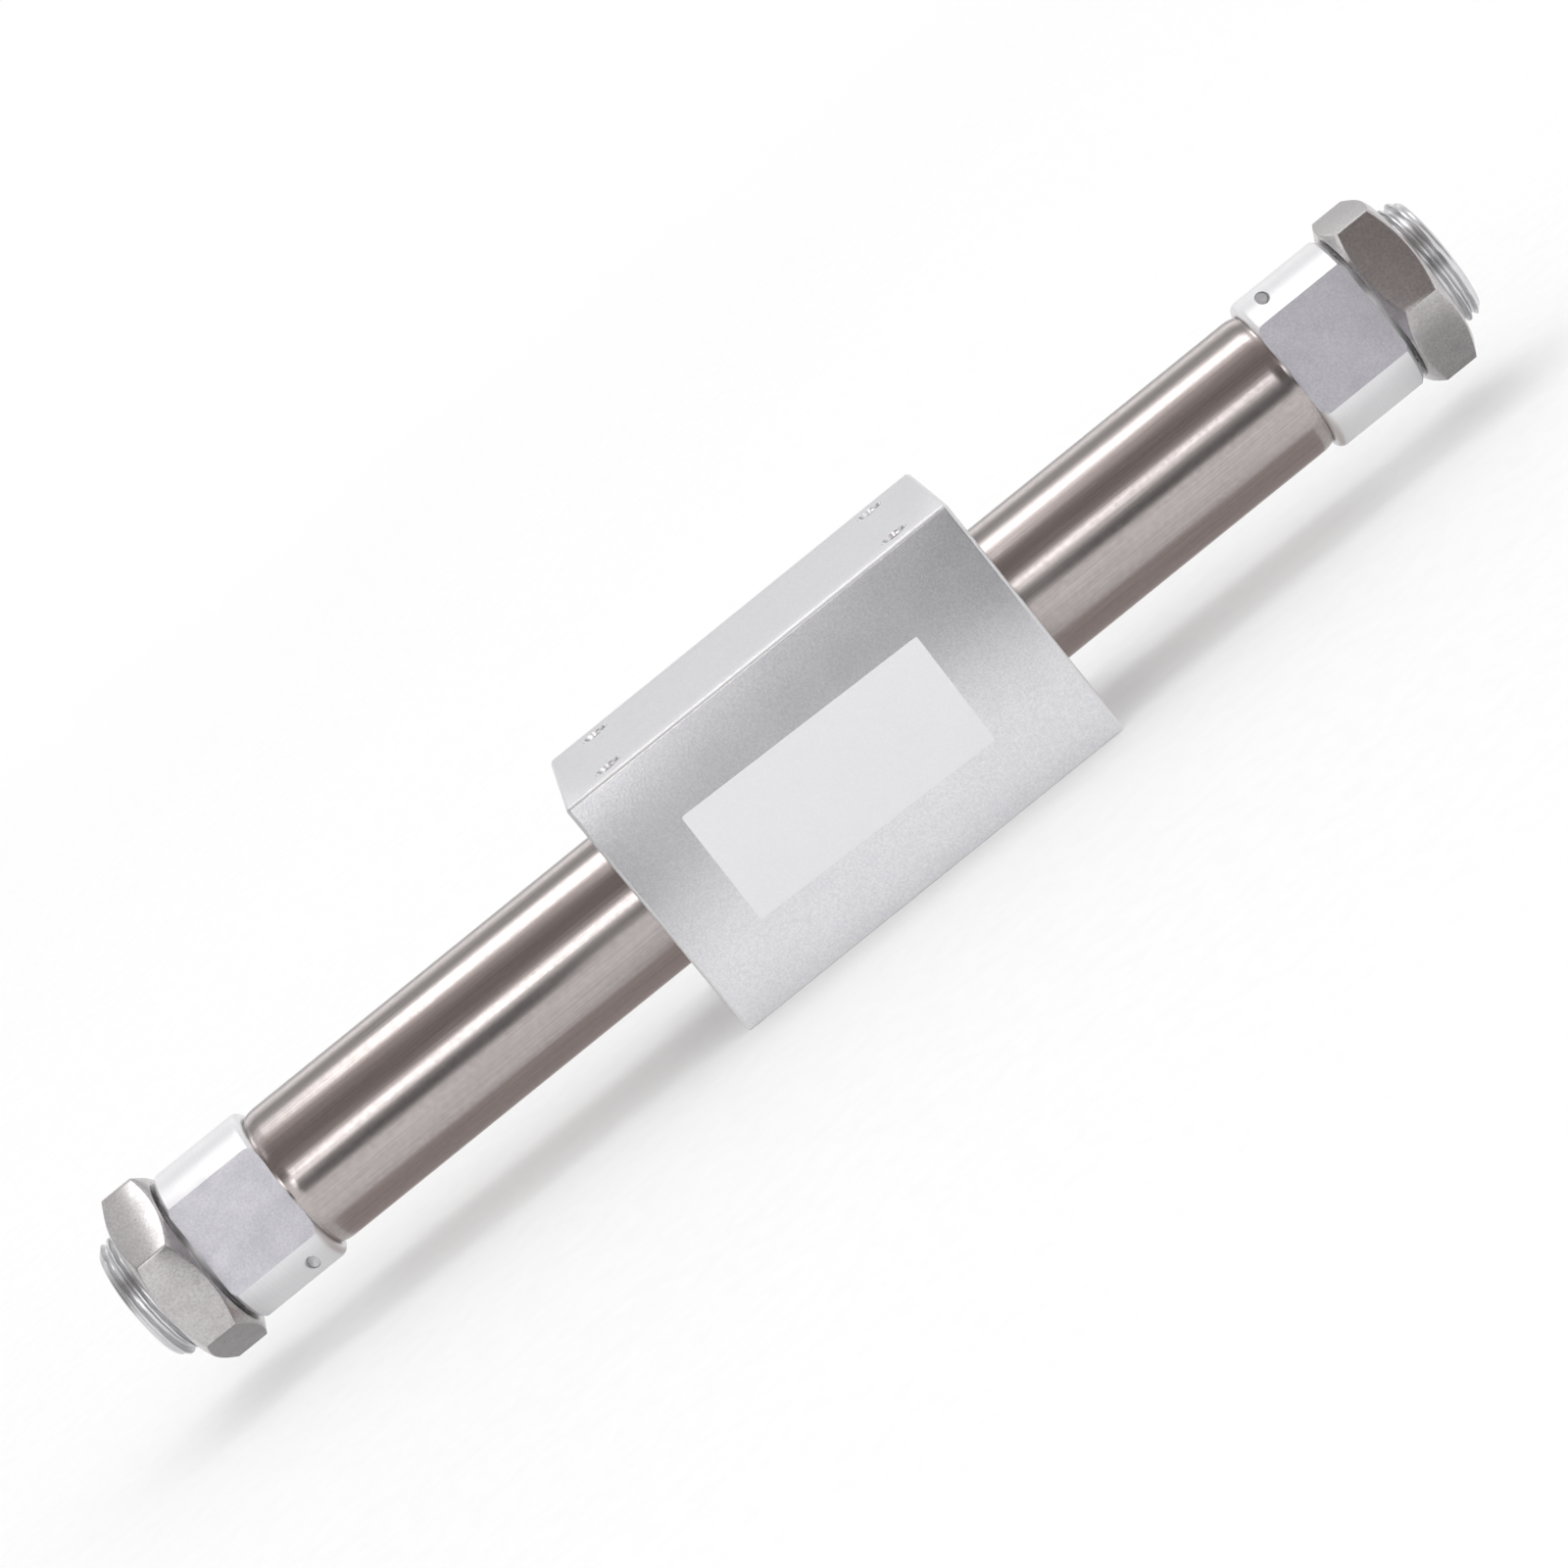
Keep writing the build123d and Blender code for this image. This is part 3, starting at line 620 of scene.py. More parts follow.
class BuildHeadCovers(bpy.types.Operator):
    """Builds both head covers, which are one part turned end for end"""

    bl_idname = "air_cylinder.head_covers"
    bl_label = "Head covers"

    def execute(self, context):
        size = settings().head
        slots = (finish("head round"), finish("head flat"), finish("thread"))
        right = self.blank(size, slots)
        self.finish_stub(size, right, slots)
        self.drill(size, right, slots)
        left = twin(right, "head_left")
        turn = Matrix.Rotation(-size.turn, 4, "X")
        place(right, turn)
        place(left, turn @ END_FOR_END)
        for side, thing in (("right", right), ("left", left)):
            dress(thing, "barrel", "head_anodised_aluminium", f"head_cover_{side}")
        return {"FINISHED"}

    def blank(self, size, slots):
        """Spigot with the gasket's groove, and body with its flats, rim round, chamfer and neck."""
        spigot, ease = settings().tube.bore / 2 - FIT, 0.3 * MM
        groove, width, depth = SPIGOT_FACE + 1.8 * MM, 2.4 * MM, 1.3 * MM
        start, end, columns = TUBE_END, TUBE_END + size.body, 2 * sum(HEAD_COLUMNS)
        profile = (
            (SPIGOT_FACE, 0),
            (SPIGOT_FACE, spigot - ease),
            (SPIGOT_FACE + ease, spigot),
            (groove, spigot),
            (groove, spigot - depth),
            (groove + width, spigot - depth),
            (groove + width, spigot),
            (start, spigot),
        )
        rows = [circle(x, r, columns) for x, r in profile]
        radius, flat = size.diameter / 2, size.across_flats / 2
        rim, chamfer, steps = size.inner_round, size.outer_chamfer, 6
        # the rim's inner rows are held just wider than the flats
        narrowest = max(flat + FIT, radius - rim)
        for k in range(steps + 1):
            turn = pi / 2 * k / steps
            wide = max(radius - rim + rim * sin(turn), narrowest)
            rows.append(flatted_row(start + rim * (1 - cos(turn)), wide, flat))
        rows += [flatted_row(end - chamfer, radius, flat), flatted_row(end, radius - chamfer, flat)]
        neck = size.stub_root - 0.03 * MM
        rows += [circle(end + x, r, columns) for x, r in ((0, neck), (size.relief, neck), (size.relief, 0))]
        body = skin("head_right", rows, *slots)
        for face in body.data.polygons:
            if abs(face.normal.y) > 0.999 and abs(face.center.y) > flat - 0.01 * MM:
                face.material_index = HEAD_FLAT
            else:
                face.material_index = HEAD_THREAD if face.center.x < start else HEAD_ROUND
        return body

    def finish_stub(self, size, body, slots):
        """The stub's thread, from inside the neck to its chamfered end."""
        start = stub_start(size)
        long = STUB_END - start
        stub = thread(
            "stub_thread", slots, HEAD_THREAD, start=start, length=long, pitch=size.stub_pitch,
            crest_radius=size.stub_crest, root_radius=size.stub_root, start_radius=size.stub_root,
            end_radius=size.stub_crest - size.stub_chamfer, steps_around=STUB_STEPS,
            steps_along=int(long / size.stub_pitch * 18),
        )
        combine(body, [stub], "UNION")

    def drill(self, size, body, slots):
        """Air port with its thread, the passage on the axis, and the plug's hole."""
        port_x = TUBE_END + size.body / 2
        flat = size.across_flats / 2
        to_port = Matrix.Translation((port_x, 0, 0)) @ Matrix.Rotation(pi / 2, 4, "Z")
        drill, depth, ease, over = size.port_drill, size.port_depth, 0.5 * MM, 0.5 * MM
        narrow, wide = 1.5 * MM, 2 * MM  # radii of the drilling from the port and of the passage
        profile = [(0, 0), (0, narrow), (flat - depth, narrow), (flat - depth, drill)]
        profile += [(flat - ease, drill), (flat + over, drill + ease + over), (flat + over, 0)]
        port = place(cutter("port", profile, slots, HEAD_THREAD, 72), to_port)
        root, run_in, longer = drill - 0.1 * MM, 0.7 * MM, 0.3 * MM
        tap = thread(
            "port_thread", slots, HEAD_THREAD, start=flat - depth + run_in, length=depth + longer,
            pitch=size.port_pitch, crest_radius=size.port_crest, root_radius=root, start_radius=root,
            end_radius=size.port_crest, steps_around=72, steps_along=84,
        )
        place(tap, to_port)
        before, after = SPIGOT_FACE - MM, port_x + narrow
        along = [(before, 0), (before, wide), (after, wide), (after, 0)]
        passage = cutter("passage", along, slots, HEAD_THREAD, 72)
        bottom, top = -size.plug_recess - size.plug_length, size.diameter / 2
        hole = [(bottom, 0), (bottom, size.plug_radius), (top, size.plug_radius), (top, 0)]
        plug = place(cutter("plug", hole, slots, HEAD_ROUND, 64), plug_place(size))
        combine(body, [port, tap, passage, plug])


def plug_place(size):
    """From along X to the plug's hole. It points to the front, before the cover's turn, and its place is the
    lowest edge of its mouth."""
    radius = size.diameter / 2
    height = radius - size.plug_rim
    mouth = sqrt(radius**2 - (height + size.plug_radius) ** 2)
    spot = Matrix.Translation((TUBE_END + size.plug_offset, -mouth, height))
    return spot @ Matrix.Rotation(-pi / 2, 4, "Z")


class BuildPlugs(bpy.types.Operator):
    """Builds the small plug pressed into the round side of each head cover"""

    bl_idname = "air_cylinder.plugs"
    bl_label = "Plugs"

    def execute(self, context):
        size = settings().head
        radius, ease = size.plug_radius - FIT, 0.15 * MM
        low, high = -size.plug_recess - size.plug_length, -size.plug_recess
        profile = [(low, 0), (low, radius), (high - ease, radius), (high - 0.3 * ease, radius - 0.3 * ease)]
        profile += [(high, radius - ease), (high, 0)]
        for side, matrix in SIDES:
            pin = turned(f"plug_{side}", profile, finish("plug"), steps=64)
            place(pin, Matrix.Rotation(-size.turn, 4, "X") @ matrix @ plug_place(size))
            dress(pin, "barrel", "plug_steel", f"head_plug_{side}")
        return {"FINISHED"}


class BuildNuts(bpy.types.Operator):
    """Builds the two hexagon mounting nuts"""

    bl_idname = "air_cylinder.nuts"
    bl_label = "Mounting nuts"

    def execute(self, context):
        size, head = settings().nut, settings().head
        right = self.blank(size, head)
        self.tap(size, head, right)
        left = twin(right, "nut_left")
        place(right, Matrix.Rotation(-size.turn_right, 4, "X"))
        place(left, END_FOR_END @ Matrix.Rotation(size.turn_left, 4, "X"))
        for side, thing in (("right", right), ("left", left)):
            dress(thing, "barrel", "nut_steel", f"mounting_nut_{side}")
        return {"FINISHED"}

    def blank(self, size, head):
        """Hexagon with a corner to the front, a cone on both faces and softened edges."""
        steps = 24
        flat, mouth_cone = size.across_flats / 2, size.chamfer_diameter / 2
        slope = tan(size.chamfer_angle)
        # the bore is drilled a little too small, and the thread is cut out of it later
        bore, wider = head.stub_root - 0.1 * MM, 0.05 * MM
        mouth = head.stub_crest + wider + size.countersink
        turns = [pi / 3 * (side + k / steps) for side in range(6) for k in range(steps)]
        hexagon = [flat / cos((turn % (pi / 3)) - pi / 6) for turn in turns]

        def ring(x, r):
            """A full circle with a point for each of the hexagon's."""
            return [(x, *around(r, turn)) for turn in turns]

        def waist(face, sign):
            """Where the cone of a face meets the hexagon's sides."""
            cone = [face + sign * (r - mouth_cone) * slope for r in hexagon]
            return [(x, *around(r, turn)) for x, r, turn in zip(cone, hexagon, turns)]

        deep = mouth - bore
        first = [ring(NUT_START + deep, bore), ring(NUT_START, mouth), ring(NUT_START, mouth_cone)]
        last = [ring(NUT_END, mouth_cone), ring(NUT_END, mouth), ring(NUT_END - deep, bore)]
        rows = [*first, waist(NUT_START, 1), waist(NUT_END, -1), *last, first[0]]
        return soften(skin("nut_right", rows, finish("nut")), EDGE_ROUND, 3, 18)

    def tap(self, size, head, nut):
        """Cuts the thread that meets the stub's own, with a fine clearance."""
        clearance = 0.04 * MM
        root = head.stub_root + clearance
        # starts whole pitches before the stub's thread, so that both helices run in step
        before = 2 * head.stub_pitch
        start = stub_start(head)
        long = STUB_END - start + 2 * before
        tap = thread(
            "nut_thread", (finish("nut"),), 0, start=start - before, length=long, pitch=head.stub_pitch,
            crest_radius=head.stub_crest + clearance, root_radius=root, start_radius=root, end_radius=root,
            steps_around=STUB_STEPS, steps_along=int(long / head.stub_pitch * 14),
        )
        place(tap, Matrix.Rotation(size.turn_right, 4, "X"))
        combine(nut, [tap])


class BuildSliderBlock(bpy.types.Operator):
    """Builds the block: bored, grooved for its snap rings and tapped on top"""

    bl_idname = "air_cylinder.slider_block"
    bl_label = "Slider block"

    def execute(self, context):
        size = settings().slider
        half = (BLOCK_HIGH - BLOCK_LOW) / 2
        slots = (finish("block"), finish("hole"), finish("edge"))
        mesh = bpy.data.meshes.new("block")
        work = bmesh.new()
        bmesh.ops.create_cube(work, size=2)
        bmesh.ops.scale(work, vec=half, verts=work.verts)
        work.to_mesh(mesh)
        work.free()
        block = soften(make("block", mesh, *slots), size.edge, 1, 25)
        for face in block.data.polygons:
            face.material_index = BLOCK_FACE if max(map(abs, face.normal)) > 0.9 else BLOCK_EDGE
        soften(block, EDGE_ROUND, 3, 25)
        combine(block, [self.bore(size, half.x, slots)])
        for x in (-size.hole_spacing_x / 2, size.hole_spacing_x / 2):
            for y in (-size.hole_spacing_y / 2, size.hole_spacing_y / 2):
                self.tapped_hole(size, block, Matrix.Translation((x, y, half.z)), slots)
        place(block, TO_SLIDER)
        dress(block, "slider", "block_anodised_aluminium", "slider_block")
        return {"FINISHED"}

    def bore(self, size, half, slots):
        """Everything that is cut out along the axis."""
        radius, ease, over = size.bore / 2, 0.5 * MM, MM
        deep, outer = radius + size.groove, COLLAR_FACE + size.groove_width
        right = [(COLLAR_FACE, radius), (COLLAR_FACE, deep), (outer, deep), (outer, radius)]
        right += [(half - ease, radius), (half + over, radius + ease + over), (half + over, 0)]
        left = [(-x, r) for x, r in reversed(right)]
        return cutter("bore", left + right, slots, BLOCK_HOLE, 192)

    def tapped_hole(self, size, block, spot, slots):
        """One drilled, countersunk and threaded hole, pointing down."""
        down = spot @ Matrix.Rotation(-pi / 2, 4, "Y")
        radius, depth, mouth, over = size.hole_radius, size.hole_depth, size.hole_mouth, 0.3 * MM
        root, shorter = radius - 0.06 * MM, 0.2 * MM
        point = radius / tan(radians(59))  # a drill's point has twice this angle
        profile = [(-depth - point, 0), (-depth, radius), (radius - mouth, radius)]
        profile += [(over, mouth + over), (over, 0)]
        drill = place(cutter("hole", profile, slots, BLOCK_HOLE, 48), down)
        tap = thread(
            "hole_thread", slots, BLOCK_HOLE, start=-depth + THREAD_RUN_IN, length=depth - shorter,
            pitch=size.hole_pitch, crest_radius=size.hole_crest, root_radius=root, start_radius=root,
            end_radius=radius, steps_around=48, steps_along=96,
        )
        place(tap, down)
        combine(block, [drill, tap])


class BuildSliderEnds(bpy.types.Operator):
    """Builds the collars, scrapers and snap rings that close both ends of the slider"""

    bl_idname = "air_cylinder.slider_ends"
    bl_label = "Slider ends"

    def execute(self, context):
        size, tube = settings().slider, settings().tube
        for kind, part, slot in (
            ("collar", self.collar(size, tube), "collar_aluminium"),
            ("scraper", self.scraper(size, tube), "seal_rubber"),
            ("snap_ring", self.snap_ring(size), "spring_steel"),
        ):
            for side, matrix in SIDES:
                thing = place(twin(part, f"end_{kind}_{side}"), TO_SLIDER @ matrix)
                dress(thing, "slider", slot, f"slider_{kind}_{side}")
            bpy.data.objects.remove(part)
        return {"FINISHED"}

    def collar(self, size, tube):
        """Ring bored in steps for the felt, the guide ring and the scraper."""
        outer, clear = size.bore / 2 - FIT, tube.diameter / 2 + 0.4 * MM
        felt, guide, ease = 13.5 * MM, 13.0 * MM, 0.5 * MM
        felt_end, guide_end = COLLAR_START + 2 * MM, COLLAR_START + 5.8 * MM
        seat = COLLAR_FACE - size.scraper_width
        profile = [
            (COLLAR_START, felt),
            (felt_end, felt),
            (felt_end, guide),
            (guide_end, guide),
            (guide_end, clear),
            (seat, clear),
            (seat, size.scraper_radius),
            (COLLAR_FACE, size.scraper_radius),
            (COLLAR_FACE, outer - ease),
            (COLLAR_FACE - ease, outer),
            (COLLAR_START, outer),
        ]
        return soften(turned("collar", profile, finish("collar"), closed=True), 0.08 * MM)

    def scraper(self, size, tube):
        """Ring with a raised lip round the tube."""
        outer, inner = size.scraper_radius - FIT, tube.diameter / 2 + 0.05 * MM
        foot, lip = 1.1 * MM, 0.15 * MM  # thickness where the lip rises, and at its tip
        start = COLLAR_FACE - size.scraper_width
        profile = [
            (start, inner + MM),
            (start, outer),
            (COLLAR_FACE, outer),
            (COLLAR_FACE, inner + foot),
            (SCRAPER_END, inner + lip),
            (SCRAPER_END, inner),
        ]
        return soften(turned("scraper", profile, finish("rubber"), closed=True), 0.06 * MM)

    def snap_ring(self, size):
        """Flat ring with a gap below it between two eyed lugs."""
        outer = size.bore / 2 + size.groove - 0.1 * MM
        inner = outer - size.ring_width
        lug, eye, lug_turn, half_gap = 1.7 * MM, 0.6 * MM, radians(26), radians(17)
        ease = 0.06 * MM
        centre = inner + size.ring_width / 2 - lug / 2
        # outline in the YZ plane; 0 is straight down, where the gap is
        steps, lug_steps = 96, 8
        sweep = 2 * (pi - half_gap)
        outline = [(outer, half_gap + sweep * k / steps) for k in range(steps + 1)]
        lug_reach, stretch = 0.14, 0.9  # turn from a lug to the hoop, and how oval a lug is
        inner_start = lug_turn + lug_reach
        inner_sweep = 2 * (pi - inner_start)
        bulge = []
        for k in range(lug_steps + 1):
            turn = -pi / 2 + pi * k / lug_steps
            along, rise = lug * stretch * sin(turn), lug * cos(turn)
            bulge.append((centre - rise, lug_turn - along / centre))
        outline += [(r, -turn) for r, turn in bulge]
        outline += [(inner, 2 * pi - inner_start - inner_sweep * k / steps) for k in range(steps + 1)]
        outline += [(r, turn) for r, turn in reversed(bulge)]
        curve = bpy.data.curves.new("snap_ring", "CURVE")
        curve.dimensions = "2D"
        curve.fill_mode = "BOTH"
        curve.extrude = size.groove_width / 2 - FIT - ease
        curve.bevel_depth = ease
        curve.bevel_resolution = 1
        loops = [[(-r * cos(turn), r * sin(turn)) for r, turn in outline]]
        for side in (-1, 1):
            z, y = -centre * cos(lug_turn), side * centre * sin(lug_turn)
            turns = [k * pi / 12 for k in range(24)]
            loops.append([(z + eye * cos(turn), y + eye * sin(turn)) for turn in turns])
        for loop in loops:
            line = curve.splines.new("POLY")
            line.points.add(len(loop) - 1)
            for point, (z, y) in zip(line.points, loop):
                point.co = (z, y, 0, 1)
            line.use_cyclic_u = True
        ring = coat(settle(make("snap_ring", curve)), finish("spring"))
        outward(ring.data)
        # the curve's X is up and its Y is along Y; it is turned to stand across the axis
        stand = Matrix(((0, 0, 1, 0), (0, 1, 0, 0), (1, 0, 0, 0), (0, 0, 0, 1)))
        return place(ring, Matrix.Translation((COLLAR_FACE + size.groove_width / 2, 0, 0)) @ stand)


class BuildLabel(bpy.types.Operator):
    """Builds the bare label on the block's front"""

    bl_idname = "air_cylinder.label"
    bl_label = "Label"

    def execute(self, context):
        size = settings().label
        steps = 5
        outline = []
        for index, (sx, sz) in enumerate(((1, 1), (-1, 1), (-1, -1), (1, -1))):
            for k in range(steps + 1):
                turn = pi / 2 * (index + k / steps)
                x = sx * (size.width / 2 - size.corner) + size.corner * cos(turn)
                z = sz * (size.height / 2 - size.corner) + size.corner * sin(turn)
                outline.append((x, z))
        front, back, ease = -size.thickness, 0.02 * MM, 0.02 * MM
        shrink = [(x * (1 - 2 * ease / size.width), z * (1 - 2 * ease / size.height)) for x, z in outline]
        rows = [[(x, back, z) for x, z in outline], [(x, front + ease, z) for x, z in outline]]
        rows.append([(x, front, z) for x, z in shrink])
        label = skin("label", rows, finish("label"), caps=True)
        spot = Matrix.Translation((SLIDER_CENTRE + size.offset_x, BLOCK_LOW.y, size.offset_z))
        place(label, spot @ Matrix.Rotation(size.tilt, 4, "Y"))
        dress(label, "slider", None)
        return {"FINISHED"}


class FinishHiddenPieces(bpy.types.Operator):
    """Gives the pieces inside the tube and the slider their finishes"""

    bl_idname = "air_cylinder.hidden_pieces"
    bl_label = "Hidden pieces"

    def execute(self, context):
        for node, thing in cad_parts.items():
            for kind, starts in HIDDEN_PIECES.items():
                if node.startswith(starts):
                    coat(thing, finish(kind))
        return {"FINISHED"}


# Studio, in metres. Angles are in degrees above the front, seen from the axis.
# A level is how bright a face looks, and 1 is white
FLOOR_REACH = 40.0
FLOOR_LIFT, FLOOR_LIFT_WITHIN = (0.21, 0.36), 1.5  # near the object and from that distance on
SOFT_LEVEL = 0.93
CARD_STEPS = 6  # facets of a curved card from one level to the next
CARD_COLOURS = {"warm": (1.0, 0.9, 0.87), "plain": (1.0, 1.0, 1.0)}
CURVED_CARDS = (
    # name, colour, radius, left end, right end, (angle, level) along its width
    (
        "card_high_front", "warm", 0.95, -1.2, 1.2,
        ((27, 0.42), (36, 0.3), (50, 0.24), (62, 0.27), (75, 0.36), (90, 0.7)),
    ),
    # bright, and only as wide as the block, so that its upper front edge shines
    ("card_over_edge", "plain", 0.9, -0.035, 0.06, ((70, 1.2), (74, 2.6), (83, 2.6), (87, 1.2))),
    (
        "card_high_rear", "plain", 0.95, -1.2, 1.2,
        (
            (112, 0.5), (122, 0.42), (133, 0.42), (142, 0.95),
            (150, 1.4), (156, 1.3), (161, 0.6), (172, 0.49),
        ),
    ),
    ("card_low_front_left", "plain", 0.095, -0.106, -0.045, ((-12, 0.14), (-4, 0.08), (10, 0.24))),
    ("card_low_front_end", "plain", 0.095, -0.118, -0.106, ((-8, 0.16), (4, 0.1))),
    ("card_low_front_middle", "plain", 0.095, -0.045, 0.05, ((-7, 0.4), (0, 0.28), (10, 0.3))),
    ("card_low_front_right", "plain", 0.095, 0.05, 0.32, ((-9, 0.12), (-2, 0.07), (10, 0.26))),
    ("card_far_front_left", "plain", 0.5, -0.05, 0.12, ((-2, 0.5), (5, 0.45), (12, 0.5))),
    ("card_far_front_right", "plain", 0.5, 0.12, 0.7, ((-2, 0.22), (5, 0.12), (12, 0.18))),
    # the rolled ends of the tube mirror these, and end the bright stripes
    ("card_far_end_left", "warm", 0.5, -0.8, -0.23, ((17, 0.25), (30, 0.15))),
    ("card_far_end_right", "warm", 0.5, 0.2, 0.8, ((12, 0.18), (30, 0.12))),
    # bright, for the flat of the left head cover
    ("card_beside_left", "plain", 0.5, -0.3, -0.165, ((-5, 1.0), (2, 2.8), (12, 2.8), (16, 1.0))),
    # dims what the upper side of the left nut mirrors
    ("card_over_left_nut", "plain", 0.055, -0.15, -0.1115, ((60, 0.75), (125, 0.75))),
)
END_CARDS = (("card_left", -0.6, 0.3), ("card_right", 0.6, 0.9))  # name, x, level
END_CARD_FRONT, END_CARD_REAR, END_CARD_TOP = -0.5, 0.3, 0.45
# painted shade under the object: a dim card just above the floor that only reflections see, standing in for
# the floor's shadow below the tube, the head covers and the nuts. y in millimetres and level
UNDER_CARD = ((-13.5, 0.43), (-6, 0.4), (6, 0.4), (13.5, 0.43))
UNDER_CARD_GAP = 0.1 * MM
UNDER_CARD_SPANS = (
    # colour, left end, right end, how much wider, how much lighter
    ("warm", -TUBE_END, TUBE_END, 1.0, 1.0),
    ("plain", -NUT_START, -TUBE_END, 1.0, 1.55),
    ("plain", TUBE_END, NUT_START, 1.0, 1.55),
    ("plain", -STUB_END, -NUT_START, 1.3, 1.1),
    ("plain", NUT_START, STUB_END, 1.3, 1.1),
)
LAMPS = (
    # name, angle, distance, width across, left end, right end, level
    ("strip_overhead_left", 98.5, 0.8, 0.29, -0.19, 0.05, 2.2),
    ("strip_overhead_right", 99, 0.8, 0.2, 0.05, 0.4, 2.2),
    ("strip_front_left", 19.5, 0.8, 0.14, -0.22, 0.0, 2.6),
    ("strip_front_right", 24.5, 0.8, 0.12, 0.0, 0.21, 1.8),
)


class BuildStage(bpy.types.Operator):
    """Sets the floor, the reflector cards, the lamps, the world and the camera"""

    bl_idname = "air_cylinder.stage"
    bl_label = "Stage"

    def execute(self, context):
        self.floor()
        self.cards()
        self.lamps()
        self.world()
        self.camera()
        return {"FINISHED"}

    def seen(self, tree):
        """1 for what the camera sees, straight or through gloss or glass, and 0 for light on matt faces."""
        path = put(tree, "ShaderNodeLightPath").outputs
        straight = {0: path["Is Camera Ray"], 1: path["Is Glossy Ray"]}
        seen = put(tree, "ShaderNodeMath", straight, operation="MAXIMUM")
        return put(tree, "ShaderNodeMath", {0: seen, 1: path["Is Transmission Ray"]}, operation="MAXIMUM")

    def floor(self):
        """Pale painted board under the block. What the camera sees of it is lifted to white."""
        material = surface("Pale painted board", "#DDDDDD", "#DADADA", (0.88, 0.92), 4, 60, 0.01, **NO_METAL)
        tree = material.node_tree
        shader = next(node for node in tree.nodes if node.type == "BSDF_PRINCIPLED")
        shader.inputs["Specular IOR Level"].default_value = 0.1
        shader.inputs["Emission Color"].default_value = (1, 1, 1, 1)
        where = put(tree, "ShaderNodeTexCoord").outputs["Object"]
        away = put(tree, "ShaderNodeVectorMath", {0: where}, operation="LENGTH").outputs["Value"]
        near, far = FLOOR_LIFT
        span = {"Value": away, "From Max": FLOOR_LIFT_WITHIN, "To Min": near, "To Max": far}
        amount = put(tree, "ShaderNodeMapRange", span)
        lift = put(tree, "ShaderNodeMath", {0: self.seen(tree), 1: amount}, operation="MULTIPLY")
        tree.links.new(lift.outputs[0], shader.inputs["Emission Strength"])
        signs = ((-1, -1), (1, -1), (1, 1), (-1, 1))
        mesh = bpy.data.meshes.new("floor")
        corners = [(x * FLOOR_REACH, y * FLOOR_REACH, BLOCK_LOW.z) for x, y in signs]
        mesh.from_pydata(corners, [], [(0, 1, 2, 3)])
        make("floor", mesh, material)

    def cards(self):
        """Cards that only the metal's reflections see. Each fades along its width from level to level."""
        boards = {name: self.board(name, tone) for name, tone in CARD_COLOURS.items()}
        shares = [k / CARD_STEPS for k in range(CARD_STEPS)]
        for name, tone, radius, left, right, fades in CURVED_CARDS:
            rows = []
            for (low, dim), (high, bright) in zip(fades, fades[1:]):
                rows += [(low + (high - low) * share, dim + (bright - dim) * share) for share in shares]
            rows = [(*around(radius, radians(turn)), level) for turn, level in rows + [fades[-1]]]
            rows = [((left, y, z), (right, y, z), level) for y, z, level in rows]
            self.card(name, rows, boards[tone])
        for name, x, level in END_CARDS:
            low, high = BLOCK_LOW.z, END_CARD_TOP
            rows = [((x, END_CARD_FRONT, z), (x, END_CARD_REAR, z), level) for z in (low, high)]
            self.card(name, rows, boards["plain"])
        # painted shade: the dim card under the object stands in for the floor's shadow in reflections
        depth = BLOCK_LOW.z + UNDER_CARD_GAP
        for tone, left, right, wider, lighter in UNDER_CARD_SPANS:
            rows = [(y * wider * MM, level * lighter) for y, level in UNDER_CARD]
            rows = [((left, y, depth), (right, y, depth), level) for y, level in rows]
            self.card("card_painted_shade_under", rows, boards[tone])

    def board(self, name, tone):
        """A card's even glow, as bright as the card's own levels say."""
        material = bpy.data.materials.new(f"Reflector card, {name}")
        material.use_nodes = True
        tree = material.node_tree
        tree.nodes.clear()
        level = put(tree, "ShaderNodeAttribute", attribute_name="level").outputs["Fac"]
        glow = put(tree, "ShaderNodeEmission", {"Color": (*tone, 1), "Strength": level})
        put(tree, "ShaderNodeOutputMaterial", {"Surface": glow})
        return material

    def card(self, name, rows, material):
        """A card through rows of two points and a level."""
        mesh = bpy.data.meshes.new(name)
        points = [point for first, second, level in rows for point in (first, second)]
        corners = range(0, 2 * len(rows) - 2, 2)
        mesh.from_pydata(points, [], [(k, k + 1, k + 3, k + 2) for k in corners])
        levels = mesh.attributes.new("level", "FLOAT", "POINT")
        levels.data.foreach_set("value", [level for first, second, level in rows for end in (first, second)])
        card = make(name, mesh, material)
        card.visible_camera = card.visible_diffuse = card.visible_shadow = False
        card.visible_transmission = card.visible_volume_scatter = False
        return card

    def lamps(self):
        """A strip overhead, and one above the camera that is brighter to the left."""
        for name, turn, radius, across, left, right, level in LAMPS:
            spot = ((left + right) / 2, *around(radius, radians(turn)))
            self.lamp(name, spot, right - left, across, level)

    def lamp(self, name, spot, wide, across, level):
        """An area lamp that looks at the object. Level is how bright its face is."""
        lamp = bpy.data.lights.new(name, "AREA")
        lamp.shape = "RECTANGLE"
        lamp.size, lamp.size_y = wide, across
        lamp.energy = level * pi * wide * across
        thing = bpy.data.objects.new(name, lamp)
        COLLECTION.objects.link(thing)
        thing.location = spot
        away = Vector((0, *spot[1:])).normalized()
        right = Vector((1, 0, 0))
        thing.rotation_euler = Matrix((right, away.cross(right), away)).transposed().to_euler()

    def world(self):
        """White to the camera and in reflections, a plain soft level on matt surfaces."""
        world = bpy.data.worlds.new("Studio")
        bpy.context.scene.world = world
        world.use_nodes = True
        tree = world.node_tree
        tree.nodes.clear()
        levels = {"Value": self.seen(tree), "To Min": SOFT_LEVEL, "To Max": 1.0}
        level = put(tree, "ShaderNodeMapRange", levels)
        sky = put(tree, "ShaderNodeBackground", {"Color": (1, 1, 1, 1), "Strength": level})
        put(tree, "ShaderNodeOutputWorld", {"Surface": sky})

